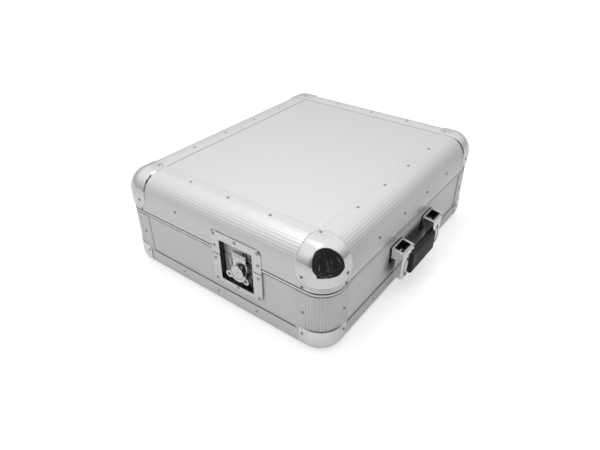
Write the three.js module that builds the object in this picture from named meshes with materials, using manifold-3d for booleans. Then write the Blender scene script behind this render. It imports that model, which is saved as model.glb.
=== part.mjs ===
import * as THREE from "three";
import { mergeVertices } from "three/addons/utils/BufferGeometryUtils.js";
import { RoundedBoxGeometry } from "three/addons/geometries/RoundedBoxGeometry.js";
import Module from "manifold-3d";

// A turntable flight case, in millimetres.
// X runs along the case, -Y is the handle side, +Y the hinge side, and the corner caps stand on z = 0.

// Outside of the case
const caseLength = 520;
const caseDepth = 430;
const seamRise = 109;
const lidRise = 67;
const footDrop = 3;
const cornerRadius = 38;

// Clearances and cuts
const fit = 0.25;
const overrun = 2;

// Steps along the curves
const skinSteps = 8;
const planSteps = 4;
const smallSteps = 2;
const discSides = 24;
const pinSides = 12;
const eyeSides = 8;
const rivetSides = 6;
const ballSteps = 4;
const capSteps = 4;

// Board and aluminium sections
const boardThick = 7;
const skin = 1.6;
const ribDepth = 0.5;
const ribCount = 9;
const ribShares = [0, 0.62, 0.7, 0.92];

// Bottom edging
const edgingRise = 27.5;
const edgingReach = 26;
const edgingRound = 4.5;

// Closing rims
const rimRise = 11;
const baseRimDrop = 6.6;
const rimWeb = 4;
const tongueThick = 3;
const tongueRise = 4;
const tonguePlay = 1;
const seamGap = 0.4;
const notchPlay = 1.5;

// Pressed corners
const ballProud = 1.6;
const ballDrop = 0.5;
const ballGap = 0.5;
const ballBlock = 120;
const capProud = 1.6;
const capRise = 36;
const capEar = 10.5;
const capRound = 14;
const capWall = 1.4;
const capBlock = 120;

// Rivets
const rivetRadius = 2.8;
const rivetCrown = 1;
const rivetTopShare = 0.6;
const rivetPitch = 83;
const lidRivetInset = 41;
const lidRivetDrop = 38;
const edgingRivetRise = 17;
const postRivetRise = 66;
const postRivetInset = 43;
const ballTopRivetShare = 0.57;
const ballSideRivetShare = 0.37;
const capRivetInset = 43;
const capRivetRise = 25;

// Latches
const latchShift = 47.5;
const plateWidth = 100;
const plateTopShare = 0.47;
const plateSplitShare = 0.9;
const plateBottomShare = 0.4;
const plateRound = 9;
const plateProud = 1.6;
const dishWidth = 66.5;
const dishTopShare = 0.27;
const dishBottomShare = 0.48;
const dishDepth = 9.4;
const dishWall = 1.2;
const dishRound = 5;
const plateRivetInset = 6;
const plateRivetEdge = 5.5;
const plateRivetMid = 9;
const keyShare = 0.72;
const discRadius = 10.5;
const discThick = 2;
const camRadius = 6.9;
const camThrow = 3.6;
const camDepth = 6.4;
const spindleRadius = 3;
const spindlePlay = 0.3;
const bossRadius = 5.2;
const bossReach = 2.4;
const wingThick = 2;
const wingInner = 11.6;
const wingOuter = 16.4;
const lobeAcross = 17.2;
const lobeDrop = 10.2;
const lobeRadius = 5.3;
const lobeHole = 2.6;
const wingPinDrop = 3;
const wingPinDepth = 0.5;
const wingPinRadius = 0.8;
const wingPinHalf = 15;
const eyeRadius = 1.6;
const eyeBore = 1.1;
const eyeInner = 11.8;
const eyeLength = 3.6;
const hookHalf = 14;
const hookThick = 1.6;
const hookDepth = 4.8;
const hookSlot = 8;
const hookRing = 10.4;
const clawRise = 28.9;
const clawThick = 2;
const clawReach = 2.2;
const keeperFace = 6.8;
const keeperHalf = 13;
const keeperThick = 3.4;
const guidePlay = 0.6;
const guideThick = 2.4;
const guideFace = 3;
const guideRise = 5;

// Handle
const handleHalf = 58;
const bracketWidth = 40;
const bracketDrop = 19;
const bracketPlateDrop = 32;
const bracketPlateThick = 1.6;
const cheekThick = 2.5;
const cheekRise = 20;
const cheekReach = 24;
const cheekRound = 6;
const handlePinReach = 17;
const handlePinDrop = 11;
const handlePinRadius = 2.5;
const handlePinPlay = 0.4;
const armBoss = 5;
const armWidth = 28;
const armThick = 9;
const armFront = 23;
const armHang = 49;
const armRound = 10;
const leafLong = 40;
const leafWide = 12;
const leafDeep = 0.9;
const gripDrop = 13;
const gripTall = 39;
const gripThick = 13;
const gripFront = 26.5;
const gripRound = 5;
const tenonTall = 20;
const tenonThick = 4.5;
const tenonLong = 10;
const tenonInset = 2.6;

// Hinges
const hingeInset = 110;
const hingeWidth = 60;
const hingeAxisOut = 6;
const hingeAxisRise = 3;
const knuckleRadius = 4.5;
const knuckleEnd = 15;
const knuckleGap = 0.4;
const hingePinRadius = 2;
const hingePinPlay = 0.4;
const leafThick = 2;
const leafOutDrop = 52;
const knuckleClear = 5;
const webReach = 9;

// Linings
const floorFoam = 10;
const wallFoamLong = 25;
const wallFoamShort = 20;
const liningInset = 11.2;
const liningDrop = 11;
const liningGap = 0.4;
const lidFoam = 15;
const lidFoamInset = 15.5;
const lidFoamRound = 24;

// Places worked out from the sizes above
const halfLength = caseLength / 2;
const halfDepth = caseDepth / 2;
const underside = footDrop;
const caseHeight = seamRise + lidRise;
const seam = underside + seamRise;
const crown = seam + lidRise;
const flangeReach = lidRise - rimRise;
const boardOut = skin + fit;
const boardIn = boardOut + boardThick;
const slotOut = boardIn + fit;
const profileDepth = slotOut + skin;
const slotEnd = cornerRadius + skin;
const boardStart = slotEnd + fit;
const edgingTop = underside + edgingRise;
const rimBottom = seam - baseRimDrop;
const lidFlangeEnd = crown - flangeReach;
const ballEar = flangeReach - cornerRadius - ballDrop;
const ballTopRivetInset = cornerRadius + ballEar * ballTopRivetShare;
const ballSideRivetInset = cornerRadius + ballEar * ballSideRivetShare;
const plateTop = seam + lidRise * plateTopShare;
const plateSplit = underside + seamRise * plateSplitShare;
const plateBottom = underside + seamRise * plateBottomShare;
const dishTop = seam + lidRise * dishTopShare;
const dishBottom = underside + seamRise * dishBottomShare;
const keyZ = underside + seamRise * keyShare;
const hingeZ = seam + hingeAxisRise;
const hingeLidTop = crown - lidRivetDrop - rivetRadius - fit;
const bracketTop = seam - bracketDrop;
const handleZ = bracketTop - handlePinDrop;
const armBottom = handleZ - armHang;
const gripTop = handleZ - gripDrop;
const gripBottom = gripTop - gripTall;
const plateFace = -plateProud;
const bracketFront = -cheekReach;

const wasm = await Module();
wasm.setup();

function solid(geometry) {
  const plain = geometry.clone();
  plain.deleteAttribute("normal");
  plain.deleteAttribute("uv");
  const merged = mergeVertices(plain);
  const vertProperties = new Float32Array(merged.attributes.position.array);
  const triVerts = new Uint32Array(merged.index.array);
  return new wasm.Manifold(new wasm.Mesh({ numProp: 3, vertProperties, triVerts }));
}

function geometryOf(body) {
  const mesh = body.getMesh();
  const geometry = new THREE.BufferGeometry();
  geometry.setAttribute("position", new THREE.BufferAttribute(mesh.vertProperties, 3));
  geometry.setIndex(new THREE.BufferAttribute(mesh.triVerts, 1));
  geometry.computeVertexNormals();
  return geometry;
}

function join(first, ...rest) {
  return rest.reduce((whole, piece) => whole.add(piece), first);
}

function cut(first, ...rest) {
  return rest.reduce((whole, piece) => whole.subtract(piece), first);
}

// A box from its lowest to its highest corner
function block(x0, x1, y0, y1, z0, z1) {
  const geometry = new THREE.BoxGeometry(x1 - x0, y1 - y0, z1 - z0);
  return solid(geometry.translate((x0 + x1) / 2, (y0 + y1) / 2, (z0 + z1) / 2));
}

function extruded(shape, depth, curveSegments) {
  return new THREE.ExtrudeGeometry(shape, { depth, bevelEnabled: false, curveSegments });
}

// An outline in x and y, raised from z0 to z1
function raised(shape, z0, z1) {
  return solid(extruded(shape, z1 - z0, planSteps).translate(0, 0, z0));
}

// An outline in y and z, drawn out from x0 to x1
function drawnAlong(shape, x0, x1) {
  const geometry = extruded(shape, x1 - x0, smallSteps).translate(0, 0, x0);
  const yAxis = new THREE.Vector3(0, 1, 0);
  const zAxis = new THREE.Vector3(0, 0, 1);
  const xAxis = new THREE.Vector3(1, 0, 0);
  return solid(geometry.applyMatrix4(new THREE.Matrix4().makeBasis(yAxis, zAxis, xAxis)));
}

// An outline in x and z, pushed inwards from y0 to y1
function pushedIn(shape, y0, y1, steps = smallSteps) {
  return solid(extruded(shape, y1 - y0, steps).rotateX(Math.PI / 2).translate(0, y1, 0));
}

// A round bar along x, y or z
function bar(axis, radius, from, to, a, b, sides) {
  const middle = (from + to) / 2;
  const geometry = new THREE.CylinderGeometry(radius, radius, to - from, sides);
  if (axis === "x") {
    geometry.rotateZ(Math.PI / 2).translate(middle, a, b);
  } else if (axis === "y") {
    geometry.translate(a, middle, b);
  } else {
    geometry.rotateX(Math.PI / 2).translate(a, b, middle);
  }
  return solid(geometry);
}

function polygon(points) {
  return new THREE.Shape(points.map(([x, y]) => new THREE.Vector2(x, y)));
}

// A rectangle with round corners, from its lowest to its highest corner
function roundedRect(x0, x1, y0, y1, radius) {
  const shape = new THREE.Shape();
  shape.absarc(x1 - radius, y0 + radius, radius, -Math.PI / 2, 0, false);
  shape.absarc(x1 - radius, y1 - radius, radius, 0, Math.PI / 2, false);
  shape.absarc(x0 + radius, y1 - radius, radius, Math.PI / 2, Math.PI, false);
  shape.absarc(x0 + radius, y0 + radius, radius, Math.PI, Math.PI * 1.5, false);
  return shape;
}

// A slot with round ends, lying along x
function stadium(half, middle, radius) {
  const shape = new THREE.Shape();
  shape.absarc(half, middle, radius, -Math.PI / 2, Math.PI / 2, false);
  shape.absarc(-half, middle, radius, Math.PI / 2, Math.PI * 1.5, false);
  return shape;
}

// A pressed rivet head whose crown points along -y (side), -x (end) or +z (top)
function rivetShape(facing, x, y, z) {
  const height = rivetCrown + skin / 2;
  const buried = height / 2 - rivetCrown;
  const geometry = new THREE.CylinderGeometry(rivetRadius * rivetTopShare, rivetRadius, height, rivetSides);
  if (facing === "side") {
    geometry.rotateX(Math.PI).translate(x, y + buried, z);
  } else if (facing === "end") {
    geometry.rotateZ(Math.PI / 2).translate(x + buried, y, z);
  } else {
    geometry.rotateX(Math.PI / 2).translate(x, y, z - buried);
  }
  return geometry;
}

function rivet(facing, x, y, z) {
  return solid(rivetShape(facing, x, y, z));
}

// A row of places on each side of the middle, at the rivet pitch
function pitchRow(count) {
  const places = [];
  for (let i = 0; i < count; i += 1) {
    places.push((i - (count - 1) / 2) * rivetPitch);
  }
  return places;
}

function aluminium() {
  return new THREE.MeshStandardMaterial({ color: 0xc9cacc, roughness: 0.38, metalness: 0.9 });
}

function laminate() {
  return new THREE.MeshStandardMaterial({ color: 0xbfc0c2, roughness: 0.45, metalness: 0.6 });
}

function chrome() {
  return new THREE.MeshStandardMaterial({ color: 0xdfe0e2, roughness: 0.12, metalness: 1 });
}

function plated() {
  return new THREE.MeshStandardMaterial({ color: 0xd2d3d5, roughness: 0.25, metalness: 0.95 });
}

function blackGrip() {
  return new THREE.MeshStandardMaterial({ color: 0x141414, roughness: 0.6, metalness: 0 });
}

function foam() {
  return new THREE.MeshStandardMaterial({ color: 0x26272a, roughness: 0.95, metalness: 0 });
}

const group = new THREE.Group();
const handleOut = Math.max(cheekReach, gripFront, armFront);
const hingeOut = hingeAxisOut + knuckleRadius;
group.position.y = (handleOut - hingeOut) / 2;

function addPiece(name, body, material, parent = group) {
  const mesh = new THREE.Mesh(geometryOf(body), material);
  mesh.name = name;
  parent.add(mesh);
  return mesh;
}

// Each side has a frame of its own: x along the wall, y inwards from its outer face
const sides = [
  { name: "front", turn: 0, out: halfDepth, half: halfLength, rivets: 4, latchAt: null },
  { name: "right", turn: Math.PI / 2, out: halfLength, half: halfDepth, rivets: 3, latchAt: -latchShift },
  { name: "back", turn: Math.PI, out: halfDepth, half: halfLength, rivets: 4, latchAt: null },
  { name: "left", turn: -Math.PI / 2, out: halfLength, half: halfDepth, rivets: 3, latchAt: latchShift },
];

for (const side of sides) {
  side.frame = new THREE.Group();
  side.frame.rotation.z = side.turn;
  side.frame.position.set(side.out * Math.sin(side.turn), -side.out * Math.cos(side.turn), 0);
  group.add(side.frame);
}

// Each corner has a frame of its own: x and y run inwards from the sharp outer corner
const corners = [
  { name: "front_left", turn: 0, x: -halfLength, y: -halfDepth },
  { name: "front_right", turn: Math.PI / 2, x: halfLength, y: -halfDepth },
  { name: "back_right", turn: Math.PI, x: halfLength, y: halfDepth },
  { name: "back_left", turn: -Math.PI / 2, x: -halfLength, y: halfDepth },
];

for (const corner of corners) {
  corner.frame = new THREE.Group();
  corner.frame.rotation.z = corner.turn;
  corner.frame.position.set(corner.x, corner.y, 0);
  group.add(corner.frame);
}

// The round aluminium section: a ribbed skin with a channel for a board along each edge
function cornerSection() {
  const points = [[flangeReach, 0]];
  const pitch = Math.PI / 2 / ribCount;
  for (let rib = 0; rib < ribCount; rib += 1) {
    ribShares.forEach((share, step) => {
      const angle = -Math.PI / 2 - (rib + share) * pitch;
      const radius = step < 2 ? cornerRadius : cornerRadius - ribDepth;
      points.push([cornerRadius + radius * Math.cos(angle), cornerRadius + radius * Math.sin(angle)]);
    });
  }
  points.push([0, cornerRadius]);
  points.push([0, flangeReach]);
  points.push([skin, flangeReach]);
  points.push([skin, slotEnd]);
  points.push([slotOut, slotEnd]);
  points.push([slotOut, flangeReach]);
  points.push([profileDepth, flangeReach]);
  points.push([profileDepth, cornerRadius]);
  const inner = cornerRadius - skin;
  for (let step = 0; step <= skinSteps; step += 1) {
    const angle = Math.PI + (step / skinSteps) * Math.PI / 2;
    points.push([cornerRadius + inner * Math.cos(angle), cornerRadius + inner * Math.sin(angle)]);
  }
  points.push([cornerRadius, profileDepth]);
  points.push([flangeReach, profileDepth]);
  points.push([flangeReach, slotOut]);
  points.push([slotEnd, slotOut]);
  points.push([slotEnd, skin]);
  points.push([flangeReach, skin]);
  return points;
}

// The room that a latch needs through a wall, in the side's frame
function latchNotch(side, z0, z1, play) {
  const half = dishWidth / 2 + dishWall + play;
  return block(side.latchAt - half, side.latchAt + half, -overrun, profileDepth + overrun, z0, z1);
}

// Base boards
function buildBottomPanel() {
  const outline = roundedRect(
    -halfLength + slotOut, halfLength - slotOut,
    -halfDepth + slotOut, halfDepth - slotOut, cornerRadius - slotOut,
  );
  addPiece("bottom_panel", raised(outline, underside + boardOut, underside + boardIn), laminate());
}

function buildBasePanel(side) {
  const half = side.half - boardStart;
  const top = rimBottom + baseRimDrop - rimWeb - fit;
  let board = block(-half, half, boardOut, boardIn, underside + boardOut, top);
  if (side.latchAt !== null) {
    const floor = dishBottom - dishWall - fit;
    board = cut(board, latchNotch(side, floor, seam, fit));
  }
  const inner = side.half - cornerRadius - capEar - fit;
  for (const end of [-1, 1]) {
    const low = Math.min(end * inner, end * side.half);
    const high = Math.max(end * inner, end * side.half);
    board = cut(board, block(low, high, 0, boardIn + overrun, 0, capRound + fit));
  }
  addPiece(`base_${side.name}_panel`, board, laminate(), side.frame);
}

// Round corner post of the base
function buildCornerPost(corner) {
  let post = raised(polygon(cornerSection()), edgingTop + fit, rimBottom - fit);
  const z = underside + postRivetRise;
  post = join(post, rivet("side", postRivetInset, 0, z), rivet("end", 0, postRivetInset, z));
  addPiece(`corner_post_${corner.name}`, post, aluminium(), corner.frame);
}

// Angle along each bottom edge of the base
function buildBottomEdging(side) {
  const shape = new THREE.Shape();
  shape.moveTo(edgingReach, underside);
  shape.lineTo(edgingReach, underside + skin);
  shape.lineTo(skin, underside + skin);
  shape.lineTo(skin, edgingTop);
  shape.lineTo(0, edgingTop);
  shape.absarc(edgingRound, underside + edgingRound, edgingRound, Math.PI, Math.PI * 1.5, false);
  const half = side.half - cornerRadius - capEar - fit * 2;
  let edging = drawnAlong(shape, -half, half);
  const mitre = side.half - cornerRadius - capEar - edgingReach;
  for (const end of [-1, 1]) {
    const wedge = polygon([
      [end * (half + overrun), slotOut],
      [end * (mitre + edgingReach - slotOut), slotOut],
      [end * (mitre - overrun), edgingReach + overrun],
      [end * (half + overrun), edgingReach + overrun],
    ]);
    edging = cut(edging, raised(wedge, underside - overrun, underside + skin + overrun));
  }
  for (const x of pitchRow(side.rivets)) {
    edging = join(edging, rivet("side", x, 0, underside + edgingRivetRise));
  }
  addPiece(`bottom_edging_${side.name}`, edging, aluminium(), side.frame);
}

// Pressed corner cap of the base, which the case stands on
function buildCornerCap(corner) {
  function bowl(proud, round, bottom) {
    const plan = cornerRadius + proud - round;
    const shape = roundedRect(-proud + round, capBlock, -proud + round, capBlock, plan);
    const settings = { depth: capBlock, bevelThickness: round, bevelSize: round, bevelSegments: capSteps };
    const geometry = new THREE.ExtrudeGeometry(shape, { ...settings, curveSegments: planSteps });
    return solid(geometry.translate(0, 0, bottom + round));
  }
  const outer = bowl(capProud, capRound, 0);
  const inner = bowl(capProud - capWall, capRound - capWall, capWall);
  const reach = cornerRadius + capEar;
  const trim = roundedRect(-cornerRadius, reach, -cornerRadius, reach, capEar);
  const z = underside + capRivetRise;
  let cap = raised(trim, -overrun, underside + capRise).intersect(outer).subtract(inner);
  cap = join(cap, rivet("side", capRivetInset, -capProud, z), rivet("end", -capProud, capRivetInset, z));
  addPiece(`corner_cap_${corner.name}`, cap, chrome(), corner.frame);
}

// A closed band round the case between two insets
function band(outerInset, innerInset, z0, z1) {
  function outline(inset) {
    return roundedRect(
      -halfLength + inset, halfLength - inset,
      -halfDepth + inset, halfDepth - inset, cornerRadius - inset,
    );
  }
  const shape = outline(outerInset);
  shape.holes.push(new THREE.Path(outline(innerInset).getPoints(planSteps).reverse()));
  return raised(shape, z0, z1);
}

// Rims are cut in two by the latch recesses
function rimHalves(name, rim, z0, z1, play) {
  const half = dishWidth / 2 + dishWall + play;
  const gap = block(-caseLength, caseLength, -latchShift - half, -latchShift + half, z0, z1);
  const cutRim = cut(rim, gap);
  const front = block(-caseLength, caseLength, -caseDepth, -latchShift, z0, z1);
  addPiece(`${name}_front`, cutRim.intersect(front), aluminium());
  addPiece(`${name}_back`, cut(cutRim, front), aluminium());
}

const tongueMiddle = (boardOut + boardIn) / 2;

function buildBaseRim() {
  const body = band(0, profileDepth, rimBottom, seam);
  const channel = band(skin, slotOut, rimBottom - overrun, seam - rimWeb);
  const half = tongueThick / 2;
  const tongue = band(tongueMiddle - half, tongueMiddle + half, seam - rimWeb / 2, seam + tongueRise);
  rimHalves("base_rim", join(cut(body, channel), tongue), rimBottom - overrun * 2, crown, notchPlay);
}

function buildLidRim() {
  const top = lidFlangeEnd - fit;
  const bottom = seam + seamGap;
  const body = band(0, profileDepth, bottom, top);
  const grooveTop = seam + tongueRise + tonguePlay;
  const grooveHalf = tongueThick / 2 + tonguePlay;
  const groove = band(tongueMiddle - grooveHalf, tongueMiddle + grooveHalf, bottom - overrun, grooveTop);
  const channel = band(skin, slotOut, grooveTop + skin, top + overrun);
  let rim = cut(body, groove, channel);
  const z = (grooveTop + skin + bottom) / 2;
  rim = rimWithCornerRivets(rim, z);
  rimHalves("lid_rim", rim, bottom - overrun, crown, fit);
}

// One rivet on each wall beside each corner
function rimWithCornerRivets(rim, z) {
  let whole = rim;
  for (const side of sides) {
    side.frame.updateMatrix();
    for (const end of [-1, 1]) {
      const head = rivetShape("side", end * (side.half - ballSideRivetInset), 0, z);
      whole = join(whole, solid(head.applyMatrix4(side.frame.matrix)));
    }
  }
  return whole;
}

// Lid boards
function buildLidTop() {
  const x = halfLength - boardStart;
  const y = halfDepth - boardStart;
  addPiece("lid_top_panel", block(-x, x, -y, y, crown - boardIn, crown - boardOut), laminate());
}

function buildLidPanel(side) {
  const half = side.half - cornerRadius - fit;
  const bottom = seam + tongueRise + tonguePlay + skin + fit;
  let board = block(-half, half, boardOut, boardIn, bottom, crown - boardStart);
  if (side.latchAt !== null) {
    board = cut(board, latchNotch(side, seam, dishTop + dishWall + fit, fit));
  }
  addPiece(`lid_${side.name}_panel`, board, laminate(), side.frame);
}

// Round ribbed edge of the lid
function buildLidEdging(side) {
  const section = polygon(cornerSection().map(([inwards, down]) => [inwards, crown - down]));
  const half = side.half - cornerRadius;
  let edging = drawnAlong(section, -half, half);
  for (const end of [-1, 1]) {
    const mitre = polygon([
      [end * (half + overrun), cornerRadius],
      [end * (half - fit), cornerRadius],
      [end * (half - fit - (flangeReach - cornerRadius) - overrun), flangeReach + overrun],
      [end * (half + overrun), flangeReach + overrun],
    ]);
    edging = cut(edging, raised(mitre, crown - profileDepth - overrun, crown + overrun));
  }
  if (side.latchAt !== null) {
    edging = cut(edging, latchNotch(side, seam, dishTop + dishWall + fit, fit));
  }
  for (const x of pitchRow(side.rivets)) {
    edging = join(edging, rivet("top", x, lidRivetInset, crown));
    if (side.latchAt === null || Math.abs(x - side.latchAt) > plateWidth / 2 + rivetRadius) {
      edging = join(edging, rivet("side", x, 0, crown - lidRivetDrop));
    }
  }
  addPiece(`lid_edging_${side.name}`, edging, aluminium(), side.frame);
}

// Ball corner of the lid
function buildBallCorner(corner) {
  function shell(proud) {
    const round = cornerRadius + proud;
    const geometry = new RoundedBoxGeometry(ballBlock, ballBlock, ballBlock, ballSteps, round);
    const middle = ballBlock / 2 - proud;
    return solid(geometry.translate(middle, middle, crown - middle));
  }
  const outerRadius = cornerRadius + ballProud;
  const trimRadius = Math.hypot(outerRadius, ballEar);
  const trim = new THREE.SphereGeometry(trimRadius, discSides, pinSides);
  trim.translate(cornerRadius, cornerRadius, crown - cornerRadius);
  let ball = solid(trim).intersect(shell(ballProud)).subtract(shell(ballGap));
  const z = crown - ballSideRivetInset;
  ball = join(ball, rivet("top", ballTopRivetInset, ballTopRivetInset, crown + ballProud));
  ball = join(ball, rivet("side", ballSideRivetInset, -ballProud, z));
  ball = join(ball, rivet("end", -ballProud, ballSideRivetInset, z));
  addPiece(`ball_corner_${corner.name}`, ball, chrome(), corner.frame);
}

// A frame at the middle of each latch, with x along the wall, y inwards and z from the key's axis
function latchFrame(side) {
  const frame = new THREE.Group();
  frame.position.set(side.latchAt, 0, keyZ);
  side.frame.add(frame);
  return frame;
}

const dishHalf = dishWidth / 2;
const plateRivetSide = plateWidth / 2 - plateRivetInset;
const splitZ = plateSplit - keyZ;
const dishMiddle = dishDepth + dishWall / 2;

function buildLatchDish(side, frame) {
  const bottom = dishBottom - keyZ;
  const low = plateBottom - keyZ;
  const top = splitZ - fit;
  const outline = roundedRect(-plateWidth / 2, plateWidth / 2, low, top + plateWidth, plateRound);
  const tray = roundedRect(-dishHalf, dishHalf, bottom, top + plateWidth, dishRound);
  const back = roundedRect(
    -dishHalf - dishWall, dishHalf + dishWall, bottom - dishWall, top + plateWidth, dishRound + dishWall,
  );
  let dish = join(pushedIn(outline, plateFace, skin), pushedIn(back, 0, dishDepth + dishWall));
  dish = cut(dish, pushedIn(tray, plateFace - overrun, dishDepth));
  dish = cut(dish, block(-plateWidth, plateWidth, -caseDepth, caseDepth, top, caseHeight));
  const boss = bar("y", bossRadius, dishDepth - bossReach, dishMiddle, 0, 0, pinSides);
  const bore = bar("y", spindleRadius + spindlePlay, -overrun, dishDepth, 0, 0, pinSides);
  dish = join(dish, cut(boss, bore));
  for (const end of [-1, 1]) {
    const middle = end * (hookHalf + guidePlay + guideThick / 2);
    const [x0, x1] = [middle - guideThick / 2, middle + guideThick / 2];
    dish = join(dish, block(x0, x1, guideFace, dishMiddle, guideRise, top));
    dish = join(dish, rivet("side", end * plateRivetSide, plateFace, top - plateRivetMid));
    dish = join(dish, rivet("side", end * plateRivetSide, plateFace, low + plateRivetEdge));
  }
  dish = join(dish, rivet("side", 0, plateFace, low + plateRivetEdge));
  addPiece(`latch_dish_${side.name}`, dish, plated(), frame);
}

function buildKeeperDish(side, frame) {
  const bottom = splitZ + fit;
  const top = dishTop - keyZ;
  const high = plateTop - keyZ;
  const outline = roundedRect(-plateWidth / 2, plateWidth / 2, bottom - plateWidth, high, plateRound);
  const tray = roundedRect(-dishHalf, dishHalf, bottom - plateWidth, top, dishRound);
  const back = roundedRect(
    -dishHalf - dishWall, dishHalf + dishWall, bottom - plateWidth, top + dishWall, dishRound + dishWall,
  );
  let dish = join(pushedIn(outline, plateFace, -fit), pushedIn(back, -fit * 2, dishDepth + dishWall));
  dish = cut(dish, pushedIn(tray, plateFace - overrun, dishDepth));
  dish = cut(dish, block(-plateWidth, plateWidth, -caseDepth, caseDepth, -caseHeight, bottom));
  const keeperTop = clawRise - fit;
  const keeperLow = keeperTop - keeperThick;
  dish = join(dish, block(-keeperHalf, keeperHalf, keeperFace, dishMiddle, keeperLow, keeperTop));
  for (const x of [-plateRivetSide, 0, plateRivetSide]) {
    dish = join(dish, rivet("side", x, plateFace, high - plateRivetEdge));
  }
  for (const x of [-plateRivetSide, plateRivetSide]) {
    dish = join(dish, rivet("side", x, plateFace, bottom + plateRivetMid + plateRivetEdge));
  }
  addPiece(`keeper_dish_${side.name}`, dish, plated(), frame);
}

function buildHook(side, frame) {
  const bottom = -camThrow;
  const plate = new THREE.Shape();
  plate.absarc(camThrow, bottom, hookRing, -Math.PI / 2, 0, false);
  plate.lineTo(hookHalf, clawRise + clawThick);
  plate.lineTo(-hookHalf, clawRise + clawThick);
  plate.absarc(-camThrow, bottom, hookRing, Math.PI, Math.PI * 1.5, false);
  const back = hookDepth + hookThick;
  const slot = pushedIn(stadium(camThrow, bottom, hookSlot), hookDepth - overrun, back + overrun, planSteps);
  const claw = block(-hookHalf, hookHalf, hookDepth, back + clawReach, clawRise, clawRise + clawThick);
  const hook = join(cut(pushedIn(plate, hookDepth, back, planSteps), slot), claw);
  addPiece(`latch_hook_${side.name}`, hook, plated(), frame);
}

function buildKey(side, frame) {
  const front = plateFace + fit;
  const disc = bar("y", discRadius, front, front + discThick, 0, 0, discSides);
  const cam = bar("y", camRadius, front + discThick / 2, camDepth, 0, -camThrow, pinSides);
  const spindle = bar("y", spindleRadius, camDepth / 2, dishDepth - fit, 0, 0, pinSides);
  const [depth, low] = [wingPinDepth, -wingPinDrop];
  const pin = bar("x", wingPinRadius, -wingPinHalf, wingPinHalf, depth, low, eyeSides);
  const studTop = spindleRadius * rivetTopShare;
  const stud = new THREE.CylinderGeometry(studTop, spindleRadius, plateProud, eyeSides);
  stud.rotateX(Math.PI).translate(0, front, 0);
  addPiece(`latch_key_${side.name}`, join(disc, cam, spindle, pin, solid(stud)), plated(), frame);
}

function buildWings(side, frame) {
  const front = plateFace + fit;
  const back = front + wingThick;
  let wings = bar("y", wingOuter, front, back, 0, 0, discSides);
  const eyeTop = -wingPinDrop + eyeRadius;
  wings = cut(wings, block(-caseLength, caseLength, -caseDepth, caseDepth, eyeTop, caseHeight));
  for (const end of [-1, 1]) {
    wings = join(wings, bar("y", lobeRadius, front, back, end * lobeAcross, -lobeDrop, pinSides));
    const hole = bar("y", lobeHole, front - overrun, back + overrun, end * lobeAcross, -lobeDrop, eyeSides);
    wings = cut(wings, hole);
  }
  wings = cut(wings, bar("y", wingInner, front - overrun, back + overrun, 0, 0, discSides));
  const [depth, low] = [wingPinDepth, -wingPinDrop];
  for (const end of [-1, 1]) {
    const middle = end * (eyeInner + eyeLength / 2);
    const [x0, x1] = [middle - eyeLength / 2, middle + eyeLength / 2];
    wings = join(wings, bar("x", eyeRadius, x0, x1, depth, low, eyeSides));
  }
  const reach = wingOuter + overrun;
  wings = cut(wings, bar("x", eyeBore, -reach, reach, depth, low, eyeSides));
  addPiece(`latch_wings_${side.name}`, wings, plated(), frame);
}

// Handle brackets, arms and grip, in the front side's frame
function buildBracket(name, x) {
  const half = bracketWidth / 2;
  const top = bracketTop;
  const wall = boardOut - fit;
  const plate = block(x - half, x + half, wall - bracketPlateThick, wall, top - bracketPlateDrop, top);
  const cheekLow = top - cheekRise;
  const cheek = new THREE.Shape();
  cheek.moveTo(wall - bracketPlateThick / 2, cheekLow);
  cheek.absarc(bracketFront + cheekRound, cheekLow + cheekRound, cheekRound, Math.PI * 1.5, Math.PI, true);
  cheek.absarc(bracketFront + cheekRound, top - cheekRound, cheekRound, Math.PI, Math.PI / 2, true);
  cheek.lineTo(wall - bracketPlateThick / 2, top);
  const left = drawnAlong(cheek, x - half, x - half + cheekThick);
  const right = drawnAlong(cheek, x + half - cheekThick, x + half);
  const pinHalf = half - cheekThick / 2;
  const pin = bar("x", handlePinRadius, x - pinHalf, x + pinHalf, -handlePinReach, handleZ, pinSides);
  addPiece(`handle_bracket_${name}`, join(plate, left, right, pin), chrome(), sides[0].frame);
}

function tenonBlock(x, play) {
  const long = tenonLong + play;
  const middle = (gripTop + gripBottom) / 2;
  const inner = Math.sign(x) * (handleHalf - armWidth / 2 - overrun);
  const outer = Math.sign(x) * (handleHalf - armWidth / 2 + long);
  const back = -gripFront + gripThick - tenonInset + play;
  return block(
    Math.min(inner, outer), Math.max(inner, outer), back - tenonThick - play * 2, back,
    middle - tenonTall / 2 - play, middle + tenonTall / 2 + play,
  );
}

function buildArm(name, x) {
  const half = armWidth / 2;
  const bossHalf = bracketWidth / 2 - cheekThick - fit;
  const front = -armFront;
  const boss = bar("x", armBoss, x - bossHalf, x + bossHalf, -handlePinReach, handleZ, pinSides);
  const outline = roundedRect(x - half, x + half, armBottom, handleZ + armRound, armRound);
  const above = block(-caseLength, caseLength, -caseDepth, 0, handleZ, crown);
  const blade = cut(pushedIn(outline, front, front + armThick), above);
  const boreRadius = handlePinRadius + handlePinPlay;
  const bore = bar("x", boreRadius, x - bracketWidth, x + bracketWidth, -handlePinReach, handleZ, pinSides);
  const leaf = new THREE.Shape();
  const middle = (armBottom + handleZ - armBoss) / 2;
  const leafHalf = Math.min(leafLong, armHang - armRound) / 2;
  leaf.moveTo(x, middle - leafHalf);
  leaf.quadraticCurveTo(x + leafWide, middle, x, middle + leafHalf);
  leaf.quadraticCurveTo(x - leafWide, middle, x, middle - leafHalf);
  const groove = pushedIn(leaf, front - overrun, front + leafDeep);
  const arm = cut(join(boss, blade), bore, groove, tenonBlock(x, fit));
  addPiece(`handle_arm_${name}`, arm, chrome(), sides[0].frame);
}

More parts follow.
